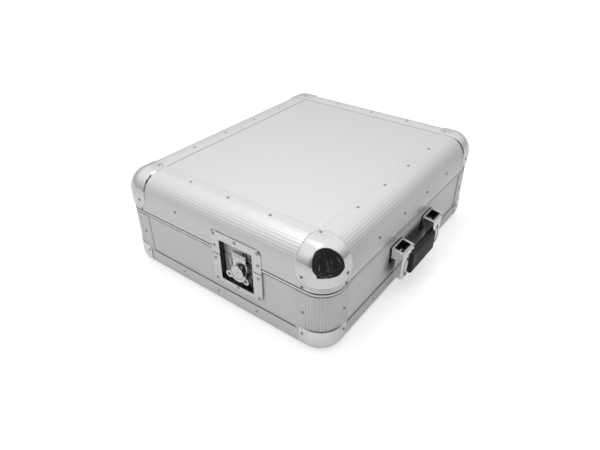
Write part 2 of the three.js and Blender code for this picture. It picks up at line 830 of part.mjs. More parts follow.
function buildGrip() {
  const half = handleHalf - armWidth / 2 - fit;
  const section = roundedRect(-gripFront, -gripFront + gripThick, gripBottom, gripTop, gripRound);
  const tenons = [-handleHalf, handleHalf].map((x) => tenonBlock(x, 0));
  addPiece("handle_grip", join(drawnAlong(section, -half, half), ...tenons), blackGrip(), sides[0].frame);
}

// Hinges, in the back side's frame, where y points into the case
function buildHinge(name, x) {
  const frame = new THREE.Group();
  frame.position.set(x, 0, 0);
  sides[2].frame.add(frame);
  const half = hingeWidth / 2;
  const axisY = -hingeAxisOut;
  const leafOut = -fit - leafThick;
  const middleHalf = half - knuckleEnd;
  const pin = bar("x", hingePinRadius, -half, half, axisY, hingeZ, pinSides);
  const baseLeaf = polygon([
    [leafOut, hingeZ - leafOutDrop],
    [boardOut - fit, hingeZ - leafOutDrop],
    [boardOut - fit, rimBottom - fit],
    [-fit, rimBottom - fit],
    [-fit, hingeZ - knuckleClear],
    [leafOut, hingeZ - knuckleClear],
  ]);
  let lower = drawnAlong(baseLeaf, -half, half);
  for (const end of [-1, 1]) {
    const inner = end * (middleHalf + knuckleGap);
    const low = Math.min(inner, end * half);
    const high = Math.max(inner, end * half);
    lower = join(lower, bar("x", knuckleRadius, low, high, axisY, hingeZ, pinSides));
    lower = join(lower, block(low, high, leafOut - leafThick, -fit, hingeZ - webReach, hingeZ));
  }
  lower = join(lower, pin);
  addPiece(`hinge_base_leaf_${name}`, lower, plated(), frame);

  const lidLeaf = block(-half, half, leafOut, -fit, hingeZ + knuckleClear, hingeLidTop);
  const knuckle = bar("x", knuckleRadius, -middleHalf, middleHalf, axisY, hingeZ, pinSides);
  const web = block(-middleHalf, middleHalf, leafOut - leafThick, -fit, hingeZ, hingeZ + webReach);
  const bore = bar("x", hingePinRadius + hingePinPlay, -half, half, axisY, hingeZ, pinSides);
  addPiece(`hinge_lid_leaf_${name}`, cut(join(lidLeaf, knuckle, web), bore), plated(), frame);
}

// Foam linings
function buildFoam() {
  const floorZ = underside + boardIn + fit;
  const stripZ = floorZ + floorFoam + fit;
  const top = seam - liningDrop;
  const plan = roundedRect(
    -halfLength + liningInset, halfLength - liningInset,
    -halfDepth + liningInset, halfDepth - liningInset, cornerRadius - liningInset,
  );
  addPiece("foam_floor", raised(plan, floorZ, floorZ + floorFoam), foam());
  for (const [name, turn] of [["front", 0], ["back", Math.PI]]) {
    const x = halfLength - liningInset;
    const y = halfDepth - liningInset;
    const strip = new THREE.Shape();
    strip.moveTo(x, -y + wallFoamLong);
    strip.lineTo(-x, -y + wallFoamLong);
    strip.absarc(-x + wallFoamLong, -y + wallFoamLong, wallFoamLong, Math.PI, Math.PI * 1.5, false);
    strip.absarc(x - wallFoamLong, -y + wallFoamLong, wallFoamLong, Math.PI * 1.5, Math.PI * 2, false);
    const mesh = addPiece(`foam_${name}`, raised(strip, stripZ, top), foam());
    mesh.rotation.z = turn;
  }
  const y = halfDepth - liningInset - wallFoamLong - liningGap;
  for (const [name, side] of [["left", -1], ["right", 1]]) {
    const a = side * (halfLength - liningInset);
    const b = side * (halfLength - liningInset - wallFoamShort);
    addPiece(`foam_${name}`, block(Math.min(a, b), Math.max(a, b), -y, y, stripZ, top), foam());
  }
  const lidPlan = roundedRect(
    -halfLength + lidFoamInset, halfLength - lidFoamInset,
    -halfDepth + lidFoamInset, halfDepth - lidFoamInset, lidFoamRound,
  );
  const lidZ = crown - profileDepth - fit;
  addPiece("foam_lid", raised(lidPlan, lidZ - lidFoam, lidZ), foam());
}

buildBottomPanel();
sides.forEach(buildBasePanel);
corners.forEach(buildCornerPost);
sides.forEach(buildBottomEdging);
corners.forEach(buildCornerCap);
buildBaseRim();
buildFoam();
buildLidTop();
sides.forEach(buildLidPanel);
sides.forEach(buildLidEdging);
corners.forEach(buildBallCorner);
buildLidRim();
for (const side of sides.filter((each) => each.latchAt !== null)) {
  const frame = latchFrame(side);
  buildLatchDish(side, frame);
  buildKeeperDish(side, frame);
  buildHook(side, frame);
  buildKey(side, frame);
  buildWings(side, frame);
}
for (const [name, x] of [["left", -handleHalf], ["right", handleHalf]]) {
  buildBracket(name, x);
  buildArm(name, x);
}
buildGrip();
for (const [name, end] of [["right", -1], ["left", 1]]) {
  buildHinge(name, end * (halfLength - hingeInset));
}

export default group;
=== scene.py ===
"""The looks of a turntable flight case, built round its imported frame."""

import logging
import math
from dataclasses import dataclass
from enum import Enum
from typing import Callable, Iterable, Mapping, Sequence

import bmesh
import bpy
from mathutils import Matrix, Vector


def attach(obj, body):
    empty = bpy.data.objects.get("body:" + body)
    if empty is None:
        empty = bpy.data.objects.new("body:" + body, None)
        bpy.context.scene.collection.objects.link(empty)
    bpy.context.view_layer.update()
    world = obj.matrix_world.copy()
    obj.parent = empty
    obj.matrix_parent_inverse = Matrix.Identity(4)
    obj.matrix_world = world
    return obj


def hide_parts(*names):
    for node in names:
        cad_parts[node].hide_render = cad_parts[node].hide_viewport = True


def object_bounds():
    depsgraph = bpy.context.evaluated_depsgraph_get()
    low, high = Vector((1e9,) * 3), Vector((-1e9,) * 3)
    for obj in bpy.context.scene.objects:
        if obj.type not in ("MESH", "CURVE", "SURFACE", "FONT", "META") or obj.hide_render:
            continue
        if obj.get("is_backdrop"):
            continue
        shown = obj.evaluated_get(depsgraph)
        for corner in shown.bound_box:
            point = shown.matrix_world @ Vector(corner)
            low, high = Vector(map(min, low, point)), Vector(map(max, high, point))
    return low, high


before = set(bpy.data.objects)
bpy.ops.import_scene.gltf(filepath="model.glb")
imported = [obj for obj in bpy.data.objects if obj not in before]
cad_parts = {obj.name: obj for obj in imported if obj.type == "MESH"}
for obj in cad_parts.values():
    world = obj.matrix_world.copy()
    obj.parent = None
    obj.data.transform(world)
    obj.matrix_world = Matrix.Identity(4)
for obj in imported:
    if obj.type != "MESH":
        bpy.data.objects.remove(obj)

LOG = logging.getLogger("flight_case")
MM = 0.001
# How far a cutting shape runs past what it cuts, and the rounding of a dressed edge, in millimetres.
PAST = 1.0
EASE = 0.5
Point = tuple[float, float]
Colour = tuple[float, float, float, float]

# Outlines lie in x and y. These turn them to face along the wall, into the wall, or up.
UPRIGHT = Matrix.Identity(4)
ALONG = Matrix(((0, 0, 1, 0), (1, 0, 0, 0), (0, 1, 0, 0), (0, 0, 0, 1)))
INWARD = Matrix(((1, 0, 0, 0), (0, 0, 1, 0), (0, 1, 0, 0), (0, 0, 0, 1)))
# Turned pieces stand along z. This lays their axis into the wall.
SPINDLE = Matrix.Rotation(-math.pi / 2, 4, "X")


@dataclass(frozen=True)
class CaseSizes:
    """The main sizes of the case, in millimetres, the same as in its frame."""

    length: float = 520.0
    depth: float = 430.0
    centre_y: float = 8.0
    underside: float = 3.0
    seam: float = 112.0
    crown: float = 179.0
    corner: float = 38.0
    skin: float = 1.6
    board: float = 7.0
    fit: float = 0.25
    flange: float = 56.0
    edging_top: float = 30.5
    rim_bottom: float = 105.4
    latch_shift: float = 47.5
    rivet_pitch: float = 83.0
    dish_half: float = 34.45

    @property
    def slot(self) -> float:
        """How far inwards the board's channel reaches."""
        return self.skin + self.board + 2 * self.fit

    @property
    def profile(self) -> float:
        """The whole depth of an aluminium section."""
        return self.slot + self.skin


SIZES = CaseSizes()


class Wall(Enum):
    """A wall of the case: its name, its turn in degrees, and the sign of the latch's place on it."""

    FRONT = ("front", 0.0, 0)
    RIGHT = ("right", 90.0, -1)
    BACK = ("back", 180.0, 0)
    LEFT = ("left", -90.0, 1)

    @property
    def label(self) -> str:
        """The wall's name, as the frame has it."""
        return self.value[0]

    @property
    def half(self) -> float:
        """Half of the wall's own length."""
        return (SIZES.length if self.value[1] % 180 == 0 else SIZES.depth) / 2

    @property
    def latch_at(self) -> float | None:
        """Where the latch's middle is along the wall, or None."""
        return self.value[2] * SIZES.latch_shift if self.value[2] else None

    @property
    def rivet_row(self) -> list[float]:
        """Where the rivets of one row are along the wall."""
        count = 4 if self.value[1] % 180 == 0 else 3
        return [(i - (count - 1) / 2) * SIZES.rivet_pitch for i in range(count)]

    @property
    def place(self) -> Matrix:
        """The wall's frame: x along it, y inwards from its outer face, z up."""
        turn = math.radians(self.value[1])
        out = (SIZES.depth if self.value[1] % 180 == 0 else SIZES.length) / 2
        move = Matrix.Translation((out * math.sin(turn), SIZES.centre_y - out * math.cos(turn), 0))
        return move @ Matrix.Rotation(turn, 4, "Z")


class Corner(Enum):
    """A corner of the case: its name, its turn in degrees, and the signs of its place."""

    FRONT_LEFT = ("front_left", 0.0, -1, -1)
    FRONT_RIGHT = ("front_right", 90.0, 1, -1)
    BACK_RIGHT = ("back_right", 180.0, 1, 1)
    BACK_LEFT = ("back_left", -90.0, -1, 1)

    @property
    def label(self) -> str:
        """The corner's name, as the frame has it."""
        return self.value[0]

    @property
    def place(self) -> Matrix:
        """The corner's frame: x and y inwards from the sharp outer corner, z up."""
        _, turn, along, across = self.value
        move = Matrix.Translation((along * SIZES.length / 2, across * SIZES.depth / 2 + SIZES.centre_y, 0))
        return move @ Matrix.Rotation(math.radians(turn), 4, "Z")


class Facing(Enum):
    """Which way a rivet's head looks in a wall's or corner's frame."""

    SIDE = ("X", 90.0)
    END = ("Y", -90.0)
    TOP = ("X", 0.0)
    UNDER = ("X", 180.0)

    def at(self, x: float, y: float, z: float) -> Matrix:
        """The place of a rivet whose seat is at x, y, z."""
        axis, turn = self.value
        return Matrix.Translation((x, y, z)) @ Matrix.Rotation(math.radians(turn), 4, axis)


class Value:
    """A shader socket that takes part in Python sums and adds the Math nodes for them."""

    def __init__(self, tree: "Shader", socket: bpy.types.NodeSocket) -> None:
        """Wraps a socket of a tree."""
        self.tree = tree
        self.socket = socket

    def _sum(self, operation: str, other: "Value | float", swapped: bool = False) -> "Value":
        """Adds one Math node."""
        pair = (other, self) if swapped else (self, other)
        return self.tree.node("ShaderNodeMath", {"operation": operation}, dict(enumerate(pair)))

    def __add__(self, other: "Value | float") -> "Value":
        """Adds."""
        return self._sum("ADD", other)

    __radd__ = __add__

    def __sub__(self, other: "Value | float") -> "Value":
        """Takes away."""
        return self._sum("SUBTRACT", other)

    def __rsub__(self, other: "Value | float") -> "Value":
        """Takes this from the other."""
        return self._sum("SUBTRACT", other, swapped=True)

    def __mul__(self, other: "Value | float") -> "Value":
        """Multiplies."""
        return self._sum("MULTIPLY", other)

    __rmul__ = __mul__

    def __pow__(self, other: "Value | float") -> "Value":
        """Raises to a power."""
        return self._sum("POWER", other)

    def at_most(self, other: "Value | float") -> "Value":
        """The smaller of the two."""
        return self._sum("MINIMUM", other)


class Shader:
    """A node tree being written."""

    def __init__(self, owner: bpy.types.Material | bpy.types.World) -> None:
        """Empties the owner's tree and starts it again.

        Args:
            owner: The material or world.
        """
        owner.use_nodes = True
        self.tree = owner.node_tree
        self.tree.nodes.clear()

    def node(
        self, kind: str, settings: Mapping | None = None, inputs: Mapping | None = None,
        output: int | str = 0,
    ) -> Value:
        """Adds a node.

        Args:
            kind: The node's type.
            settings: Its own settings, set before its sockets; "stops" fills a colour ramp.
            inputs: Socket index or name to a value or another node's result.
            output: The index or name of the result that is wanted.

        Returns:
            The wanted result.
        """
        made = self.tree.nodes.new(kind)
        for key, value in (settings or {}).items():
            if key == "stops":
                ramp = made.color_ramp
                while len(ramp.elements) < len(value):
                    ramp.elements.new(0.5)
                for element, (place, colour) in zip(ramp.elements, value):
                    element.position = place
                    element.color = colour
            else:
                setattr(made, key, value)
        for key, value in (inputs or {}).items():
            if isinstance(value, Value):
                self.tree.links.new(value.socket, made.inputs[key])
            else:
                made.inputs[key].default_value = value
        return Value(self, made.outputs[output])

    def place(self, stretch: Sequence[float] = (1.0, 1.0, 1.0)) -> Value:
        """The object's own coordinates in metres, stretched."""
        coords = self.node("ShaderNodeTexCoord", output="Object")
        return self.node("ShaderNodeMapping", {"vector_type": "POINT"}, {"Vector": coords, "Scale": stretch})

    def noise(
        self, scale: float, detail: float = 2.0, stretch: Sequence[float] = (1.0, 1.0, 1.0),
        rough: float = 0.5,
    ) -> Value:
        """Soft noise on the object's coordinates.

        Args:
            scale: Waves per metre.
            detail: How many finer octaves it has.
            stretch: How much each axis is multiplied by.
            rough: How strong the finer octaves are.

        Returns:
            The noise, from 0 to 1.
        """
        settings = {"noise_dimensions": "3D"}
        inputs = {"Vector": self.place(stretch), "Scale": scale, "Detail": detail, "Roughness": rough}
        return self.node("ShaderNodeTexNoise", settings, inputs)

    def cells(self, scale: float) -> Value:
        """Round cells on the object's coordinates.

        Args:
            scale: Cells per metre.

        Returns:
            How far each spot is from the middle of its cell.
        """
        settings = {"feature": "F1", "distance": "EUCLIDEAN"}
        inputs = {"Vector": self.place(), "Scale": scale}
        return self.node("ShaderNodeTexVoronoi", settings, inputs, output="Distance")

    def along(self, axis: str) -> Value:
        """The object's own coordinate along one axis, in metres."""
        return self.node("ShaderNodeSeparateXYZ", None, {"Vector": self.place()}, output=axis)

    def between(self, mask: Value, low: "Colour | Value", high: Colour) -> Value:
        """A colour between two by a mask."""
        settings = {"data_type": "RGBA", "blend_type": "MIX"}
        return self.node("ShaderNodeMix", settings, {0: mask, 6: low, 7: high}, output=2)

    def stepped(self, mask: Value, low: float, high: float) -> Value:
        """Stretches the part of a mask between two levels to 0 and 1.

        Args:
            mask: The mask.
            low: The level that becomes 0.
            high: The level that becomes 1.

        Returns:
            The stretched mask.
        """
        settings = {"interpolation_type": "SMOOTHSTEP"}
        inputs = {"Value": mask, "From Min": low, "From Max": high, "To Min": 0.0, "To Max": 1.0}
        return self.node("ShaderNodeMapRange", settings, inputs)

    def bump(self, height: Value, depth: float, strength: float = 1.0, below: Value | None = None) -> Value:
        """A raised or sunk pattern.

        Args:
            height: The pattern, from 0 to 1.
            depth: How deep it is, in metres.
            strength: How strongly it shows.
            below: A coarser bump that it lies on.

        Returns:
            The normal.
        """
        inputs = {"Height": height, "Distance": depth, "Strength": strength}
        if below is not None:
            inputs["Normal"] = below
        return self.node("ShaderNodeBump", None, inputs)

    def background(self, colour: "Colour | Value") -> Value:
        """The light of a world in one colour."""
        return self.node("ShaderNodeBackground", None, {"Color": colour, "Strength": 1.0})

    def surface(self, **sockets: object) -> None:
        """Ends the tree in one Principled shader whose sockets are named with underscores for spaces.

        Args:
            sockets: Socket names to values or other nodes' results.
        """
        inputs = {name.replace("_", " "): value for name, value in sockets.items()}
        body = self.node("ShaderNodeBsdfPrincipled", None, inputs)
        self.node_output(body)

    def node_output(self, shader: Value, kind: str = "ShaderNodeOutputMaterial") -> None:
        """Links a shader to the tree's output."""
        made = self.tree.nodes.new(kind)
        self.tree.links.new(shader.socket, made.inputs["Surface"])


def grey(level: float, warm: float = 0.0) -> Colour:
    """A grey, a little warmer or cooler."""
    return (level * (1 + warm), level, level * (1 - warm), 1.0)


class Finish:
    """A surface finish that makes its material once."""

    name: str = "finish"

    def write(self, shader: Shader) -> None:
        """Writes the finish's nodes."""
        raise NotImplementedError

    def material(self) -> bpy.types.Material:
        """The finish's material, made the first time that it is asked for.

        Returns:
            The material.
        """
        found = bpy.data.materials.get(self.name)
        if found is None:
            found = bpy.data.materials.new(self.name)
            self.write(Shader(found))
        return found


@dataclass(frozen=True)
class SilverLaminate(Finish):
    """Board faced with a silver laminate, brushed along one axis."""

    name: str = "silver_laminate"
    level: float = 0.80
    grain: tuple[float, float, float] = (3.0, 160.0, 160.0)
    roughness: float = 0.5
    # How dark the painted shade along the bottom angle's seam is, where it ends in metres, and how soft its
    # edge is.
    grime: float = 0.6
    grime_top: float = 0.0309
    grime_edge: float = 0.0002
    # How dark the painted shadow behind the handle is, and its height, spread and edge.
    handled: float = 0.0
    patch_height: float = 0.058
    patch_spread: tuple[float, float] = (120.0, 1100.0)
    patch_edge: tuple[float, float] = (0.3, 1.35)

    def write(self, shader: Shader) -> None:
        """Brush lines, cloudiness and scuffs, with painted shade along the seam above the bottom angle and a
        painted shadow behind a handle.

        Args:
            shader: The tree that the nodes go into.
        """
        lines = shader.noise(9.0, 3.0, self.grain, 0.6)
        cloud = shader.noise(4.5, 3.0)
        scuffs = shader.stepped(shader.noise(26.0, 5.0, (1.0, 2.2, 1.6), 0.7), 0.66, 0.78)
        tone = (lines * 0.55 + cloud * 0.45).at_most(1.0)
        clean = shader.between(tone, grey(self.level * 0.97), grey(self.level * 1.03))
        # Painted shadow: the front board is darkened round and above the handle's grip, where the handle
        # shades it.
        if self.handled:
            along, rise = shader.along("X"), shader.along("Z") - self.patch_height
            patch = along * along * self.patch_spread[0] + rise * rise * self.patch_spread[1]
            worn = (1.0 - shader.stepped(patch, *self.patch_edge)) * self.handled
            clean = shader.between(worn, clean, grey(0.1))
        # Painted shade: the board is darkened below the bottom angle's top, so the seam above the angle shows
        # as a dark line.
        below = self.grime_top - shader.along("Z") + cloud * 0.0003
        seam_shadow = shader.stepped(below, -self.grime_edge, self.grime_edge) * self.grime
        colour = shader.between(seam_shadow, clean, grey(0.02))
        rough = lines * 0.1 + cloud * 0.08 + (self.roughness - 0.1) + scuffs * 0.06
        shader.surface(
            Base_Color=colour, Metallic=0.35, Roughness=rough, Specular_IOR_Level=0.4,
            Normal=shader.bump(lines, 0.00001, 0.3),
        )


@dataclass(frozen=True)
class DrawnAluminium(Finish):
    """Satin aluminium section with the fine lines of its die."""

    name: str = "drawn_aluminium"
    level: float = 0.78
    grain: tuple[float, float, float] = (2.0, 2.0, 2.0)
    roughness: float = 0.34
    metallic: float = 0.62

    def write(self, shader: Shader) -> None:
        """Die lines along the section, handling haze, and small nicks.

        Args:
            shader: The tree that the nodes go into.
        """
        lines = shader.noise(120.0, 4.0, self.grain, 0.65)
        haze = shader.noise(11.0, 4.0, (1.0, 1.0, 1.0), 0.6)
        nicks = shader.stepped(shader.noise(170.0, 2.0), 0.72, 0.8)
        colour = shader.between(lines * 0.5 + haze * 0.5, grey(self.level * 0.96), grey(self.level * 1.04))
        rough = lines * 0.08 + haze * 0.08 + (self.roughness - 0.08) + nicks * 0.1
        fine = shader.bump(lines, 0.000008, 0.3)
        shader.surface(
            Base_Color=colour, Metallic=self.metallic, Roughness=rough,
            Normal=shader.bump(nicks, -0.00003, 0.3, fine),
        )


@dataclass(frozen=True)
class PressedChrome(Finish):
    """Bright plated pressing with a faint ripple and smears."""

    name: str = "pressed_chrome"
    level: float = 0.74
    roughness: float = 0.05
    ripple: float = 0.00006
    haze: float = 0.08

    def write(self, shader: Shader) -> None:
        """A slow ripple from the press, fine polish marks and fingerprints' haze.

        Args:
            shader: The tree that the nodes go into.
        """
        ripple = shader.noise(38.0, 1.0)
        polish = shader.noise(900.0, 2.0, (1.0, 0.2, 1.0))
        smear = shader.stepped(shader.noise(34.0, 5.0, (1.0, 1.6, 1.0), 0.7), 0.5, 0.72)
        rough = smear * self.haze + polish * 0.03 + self.roughness
        colour = shader.between(smear, grey(self.level, 0.002), grey(self.level * 0.95, 0.002))
        coarse = shader.bump(ripple, self.ripple, 0.6)
        shader.surface(
            Base_Color=colour, Metallic=1.0, Roughness=rough,
            Normal=shader.bump(polish, 0.0000015, 0.3, coarse),
        )


@dataclass(frozen=True)
class DarkRecess(Finish):
    """Painted shade for a latch: near black inside its dish, on its split line and in the hook's crease, with
    grey dust.
    """

    name: str = "painted_latch_shade"
    level: float = 0.02
    roughness: float = 0.34

    def write(self, shader: Shader) -> None:
        """Painted near-black shade with a mottled plating and grey dust.

        Args:
            shader: The tree that the nodes go into.
        """
        mottle = shader.noise(240.0, 4.0, (1.0, 1.0, 1.0), 0.7)
        dust = shader.stepped(shader.noise(60.0, 5.0), 0.55, 0.8)
        flecks = shader.stepped(mottle, 0.52, 0.66)
        colour = shader.between(dust * 0.4 + flecks * 0.6, grey(self.level), grey(self.level * 9))
        shader.surface(
            Base_Color=colour, Metallic=0.4, Roughness=mottle * 0.2 + self.roughness + dust * 0.25,
            Normal=shader.bump(mottle, 0.00003, 0.5),
        )


@dataclass(frozen=True)
class DishBack(Finish):
    """The back of a latch's dish: dull plating that turns to a mottled, painted dark reflection towards the
    handle's side.
    """

    name: str = "dish_back"
    middle: float = -0.041
    level: float = 0.72

    def write(self, shader: Shader) -> None:
        """Blotches of painted dark reflection whose share grows along the dish.

        Args:
            shader: The tree that the nodes go into.
        """
        blotch = shader.noise(170.0, 4.0, (1.0, 1.0, 0.6), 0.7)
        # Painted reflection: beyond the middle the back turns dark, as if it mirrored dark surroundings.
        side = shader.stepped(self.middle - shader.along("Y") + (blotch - 0.5) * 0.03, -0.006, 0.008)
        speck = shader.stepped(shader.noise(270.0, 3.0, (1.0, 1.0, 0.6), 0.6), 0.46, 0.6)
        dark = side * (1.0 - speck * 0.6)
        shader.surface(
            Base_Color=shader.between(dark, grey(self.level), grey(0.012)), Metallic=0.25,
            Roughness=blotch * 0.25 + 0.25, Normal=shader.bump(blotch, 0.0002, 0.4),
        )


@dataclass(frozen=True)
class MouldedBlack(Finish):
    """Moulded black plastic with a fine leathery grain."""

    name: str = "moulded_black"
    level: float = 0.018
    roughness: float = 0.46

    def write(self, shader: Shader) -> None:
        """Grain from the mould, and a shine where hands have polished it.

        Args:
            shader: The tree that the nodes go into.
        """
        cells = shader.cells(750.0)
        worn = shader.stepped(shader.noise(22.0, 3.0), 0.42, 0.7)
        dark, pale = grey(self.level, -0.01), grey(self.level * 1.9, -0.01)
        colour = shader.between(worn * 0.6 + cells * 0.3, dark, pale)
        rough = self.roughness + cells * 0.12 - worn * 0.1
        shader.surface(
            Base_Color=colour, Roughness=rough, Specular_IOR_Level=0.5,
            Normal=shader.bump(cells, 0.00006, 0.45),
        )


@dataclass(frozen=True)
class OpenCellFoam(Finish):
    """Charcoal open-cell foam."""

    name: str = "open_cell_foam"
    level: float = 0.035

    def write(self, shader: Shader) -> None:
        """Open cells with dark pores and paler walls.

        Args:
            shader: The tree that the nodes go into.
        """
        cells = shader.cells(620.0)
        soft = shader.noise(45.0, 4.0)
        pores = shader.stepped(cells, 0.1, 0.75)
        dark, pale = grey(self.level * 0.45, -0.03), grey(self.level * 1.6, -0.03)
        colour = shader.between(pores * 0.7 + soft * 0.3, dark, pale)
        coarse = shader.bump(soft, 0.0008, 0.35)
        shader.surface(
            Base_Color=colour, Roughness=0.95, Specular_IOR_Level=0.15, Sheen_Weight=0.15,
            Normal=shader.bump(pores, 0.0005, 0.7, coarse),
        )


# One drawn aluminium: besides the grain, the sections along x and the upright posts are darker copies, as
# painted shade.
SECTION_ALONG_X = DrawnAluminium("drawn_aluminium_along_x", level=0.73, grain=(0.02, 1.0, 1.0), metallic=0.45)
SECTION_ALONG_Y = DrawnAluminium("drawn_aluminium_along_y", level=0.77, grain=(1.0, 0.02, 1.0))
SECTION_UPRIGHT = DrawnAluminium("drawn_aluminium_upright", level=0.7, grain=(1.0, 1.0, 0.02), metallic=0.5)
RIM_FINISH = DrawnAluminium("rim_aluminium", level=0.76, grain=(0.2, 0.2, 1.0), roughness=0.3)
CORNER_FINISH = PressedChrome("corner_chrome")
CAP_FINISH = PressedChrome("cap_chrome", level=0.86, roughness=0.12)
HANDLE_FINISH = PressedChrome("handle_chrome", level=0.6, roughness=0.14, ripple=0.00003, haze=0.12)
# A darker, rougher copy of the handle's chrome, for the brackets' tops.
BRACKET_TOP = PressedChrome("dull_bracket_top", level=0.46, roughness=0.3, ripple=0.00003, haze=0.16)
LATCH_FINISH = PressedChrome("latch_plating", level=0.72, roughness=0.17, ripple=0.00004, haze=0.14)
HINGE_FINISH = PressedChrome("hinge_steel", level=0.66, roughness=0.26, ripple=0.00002, haze=0.14)
RIVET_FINISH = PressedChrome("rivet_steel", level=0.42, roughness=0.38, ripple=0.00001, haze=0.15)
PLATE_RIVET = PressedChrome("plate_rivet", level=0.52, roughness=0.3, ripple=0.00001, haze=0.15)
# Near black, painted as shade in the latches' dishes, split lines and creases.
LATCH_SHADE = DarkRecess()
DISH_BACK = DishBack()
# Black for the handle's backing plates, and painted shade on the rims' seam ledge and foot, inside the
# brackets, on the arms' bosses and in their leaf grooves.
GASKET_AND_SHADE = MouldedBlack("black_gasket_and_painted_shade", level=0.012, roughness=0.6)
GRIP_FINISH = MouldedBlack("grip_black", level=0.012, roughness=0.52)
FOAM_FINISH = OpenCellFoam()


def section_finish(wall: Wall) -> DrawnAluminium:
    """The finish of a section that runs along a wall."""
    return SECTION_ALONG_X if wall.latch_at is None else SECTION_ALONG_Y


class Workpiece:
    """A bmesh being shaped, in millimetres."""

    def __init__(self) -> None:
        """Starts with nothing."""
        self.bm = bmesh.new()

    def block(self, low: Sequence[float], high: Sequence[float]) -> "Workpiece":
        """Adds a box between two corners.

        Args:
            low: Its least corner.
            high: Its greatest corner.

        Returns:
            This piece.
        """
        size = Vector(high) - Vector(low)
        middle = (Vector(high) + Vector(low)) / 2
        place = Matrix.Translation(middle) @ Matrix.Diagonal((*size, 1.0))
        bmesh.ops.create_cube(self.bm, size=1.0, matrix=place)
        return self

    def prism(
        self, outline: Iterable[Point], low: float, high: float, facing: Matrix = UPRIGHT,
    ) -> "Workpiece":
        """Draws a flat outline out into a solid.

        Args:
            outline: The outline's points, in order.
            low: Where it starts.
            high: Where it ends.
            facing: Which way it is drawn.

        Returns:
            This piece.
        """
        ring = [self.bm.verts.new(facing @ Vector((x, y, low))) for x, y in outline]
        made = bmesh.ops.extrude_face_region(self.bm, geom=[self.bm.faces.new(ring)])
        moved = [item for item in made["geom"] if isinstance(item, bmesh.types.BMVert)]
        bmesh.ops.translate(self.bm, verts=moved, vec=facing.to_3x3() @ Vector((0, 0, high - low)))
        return self

    def turned(self, outline: Sequence[Point], steps: int = 32) -> "Workpiece":
        """Spins an outline of radius and height round z.

        Args:
            outline: Radius and height, from one end to the other.
            steps: How many steps the full turn has.

        Returns:
            This piece.
        """
        part = bmesh.new()
        ring = [part.verts.new((radius, 0, height)) for radius, height in outline]
        edges = [part.edges.new(pair) for pair in zip(ring, ring[1:])]
        bmesh.ops.spin(
            part, geom=[*ring, *edges], cent=(0, 0, 0), axis=(0, 0, 1), dvec=(0, 0, 0), angle=math.tau,
            steps=steps, use_merge=True, use_duplicate=False,
        )
        bmesh.ops.remove_doubles(part, verts=part.verts, dist=0.001)
        self._take(part, UPRIGHT)
        part.free()
        return self

    def ball(self, centre: Sequence[float], radius: float, steps: int = 96) -> "Workpiece":
        """Adds a ball.

        Args:
            centre: Its centre.
            radius: Its radius.
            steps: How many steps go round it.

        Returns:
            This piece.
        """
        bmesh.ops.create_uvsphere(
            self.bm, u_segments=steps, v_segments=steps // 2, radius=radius,
            matrix=Matrix.Translation(centre),
        )
        return self

    def rod(
        self, radius: float, start: Sequence[float], end: Sequence[float], steps: int = 32,
    ) -> "Workpiece":
        """Adds a round bar between two points.

        Args:
            radius: The bar's radius.
            start: One end.
            end: The other end.
            steps: How many sides it has.

        Returns:
            This piece.
        """
        run = Vector(end) - Vector(start)
        turn = run.to_track_quat("Z", "Y").to_matrix().to_4x4()
        place = Matrix.Translation((Vector(start) + Vector(end)) / 2) @ turn
        bmesh.ops.create_cone(
            self.bm, cap_ends=True, segments=steps, radius1=radius, radius2=radius, depth=run.length,
            matrix=place,
        )
        return self

    def _take(self, part: bmesh.types.BMesh, place: Matrix) -> None:
        """Copies another bmesh in.

        Args:
            part: The bmesh.
            place: Where it goes.
        """
        mesh = bpy.data.meshes.new("part")
        part.to_mesh(mesh)
        mesh.transform(place)
        self.bm.from_mesh(mesh)
        bpy.data.meshes.remove(mesh)

    def add(self, other: "Workpiece", place: Matrix = UPRIGHT) -> "Workpiece":
        """Copies another piece in at a place."""
        self._take(other.bm, place)
        return self

    def with_piece(self, other: "Workpiece", operation: str) -> "Workpiece":
        """Joins, cuts or crosses this piece with another.

        Args:
            other: The other piece.
            operation: UNION, DIFFERENCE or INTERSECT.

        Returns:
            This piece, changed.
        """
        objects = []
        for piece in (self, other):
            bmesh.ops.recalc_face_normals(piece.bm, faces=piece.bm.faces)
            mesh = bpy.data.meshes.new("part")
            piece.bm.to_mesh(mesh)
            objects.append(bpy.data.objects.new("part", mesh))
            bpy.context.scene.collection.objects.link(objects[-1])
        tool = objects[0].modifiers.new("cut", "BOOLEAN")
        tool.operation = operation
        tool.solver = "EXACT"
        tool.object = objects[1]
        bpy.context.view_layer.update()
        graph = bpy.context.evaluated_depsgraph_get()
        result = bpy.data.meshes.new_from_object(objects[0].evaluated_get(graph))
        self.bm.clear()
        self.bm.from_mesh(result)
        bpy.data.meshes.remove(result)
        for item in objects:
            mesh = item.data
            bpy.data.objects.remove(item)
            bpy.data.meshes.remove(mesh)
        return self

    def cut(self, other: "Workpiece") -> "Workpiece":
        """Takes another piece away."""
        return self.with_piece(other, "DIFFERENCE")

    def join(self, other: "Workpiece") -> "Workpiece":
        """Melts another piece in."""
        return self.with_piece(other, "UNION")

    def within(self, other: "Workpiece") -> "Workpiece":
        """Keeps what lies inside another piece."""
        return self.with_piece(other, "INTERSECT")

    def trim(self, point: Sequence[float], outward: Sequence[float]) -> "Workpiece":
        """Cuts off what lies beyond a plane and closes the cut.

        Args:
            point: A point on the plane.
            outward: The way that is cut off.

        Returns:
            This piece.
        """
        made = bmesh.ops.bisect_plane(
            self.bm, geom=[*self.bm.verts, *self.bm.edges, *self.bm.faces], plane_co=point, plane_no=outward,
            clear_outer=True, dist=0.0001,
        )
        edges = [item for item in made["geom_cut"] if isinstance(item, bmesh.types.BMEdge)]
        bmesh.ops.holes_fill(self.bm, edges=edges, sides=0)
        return self

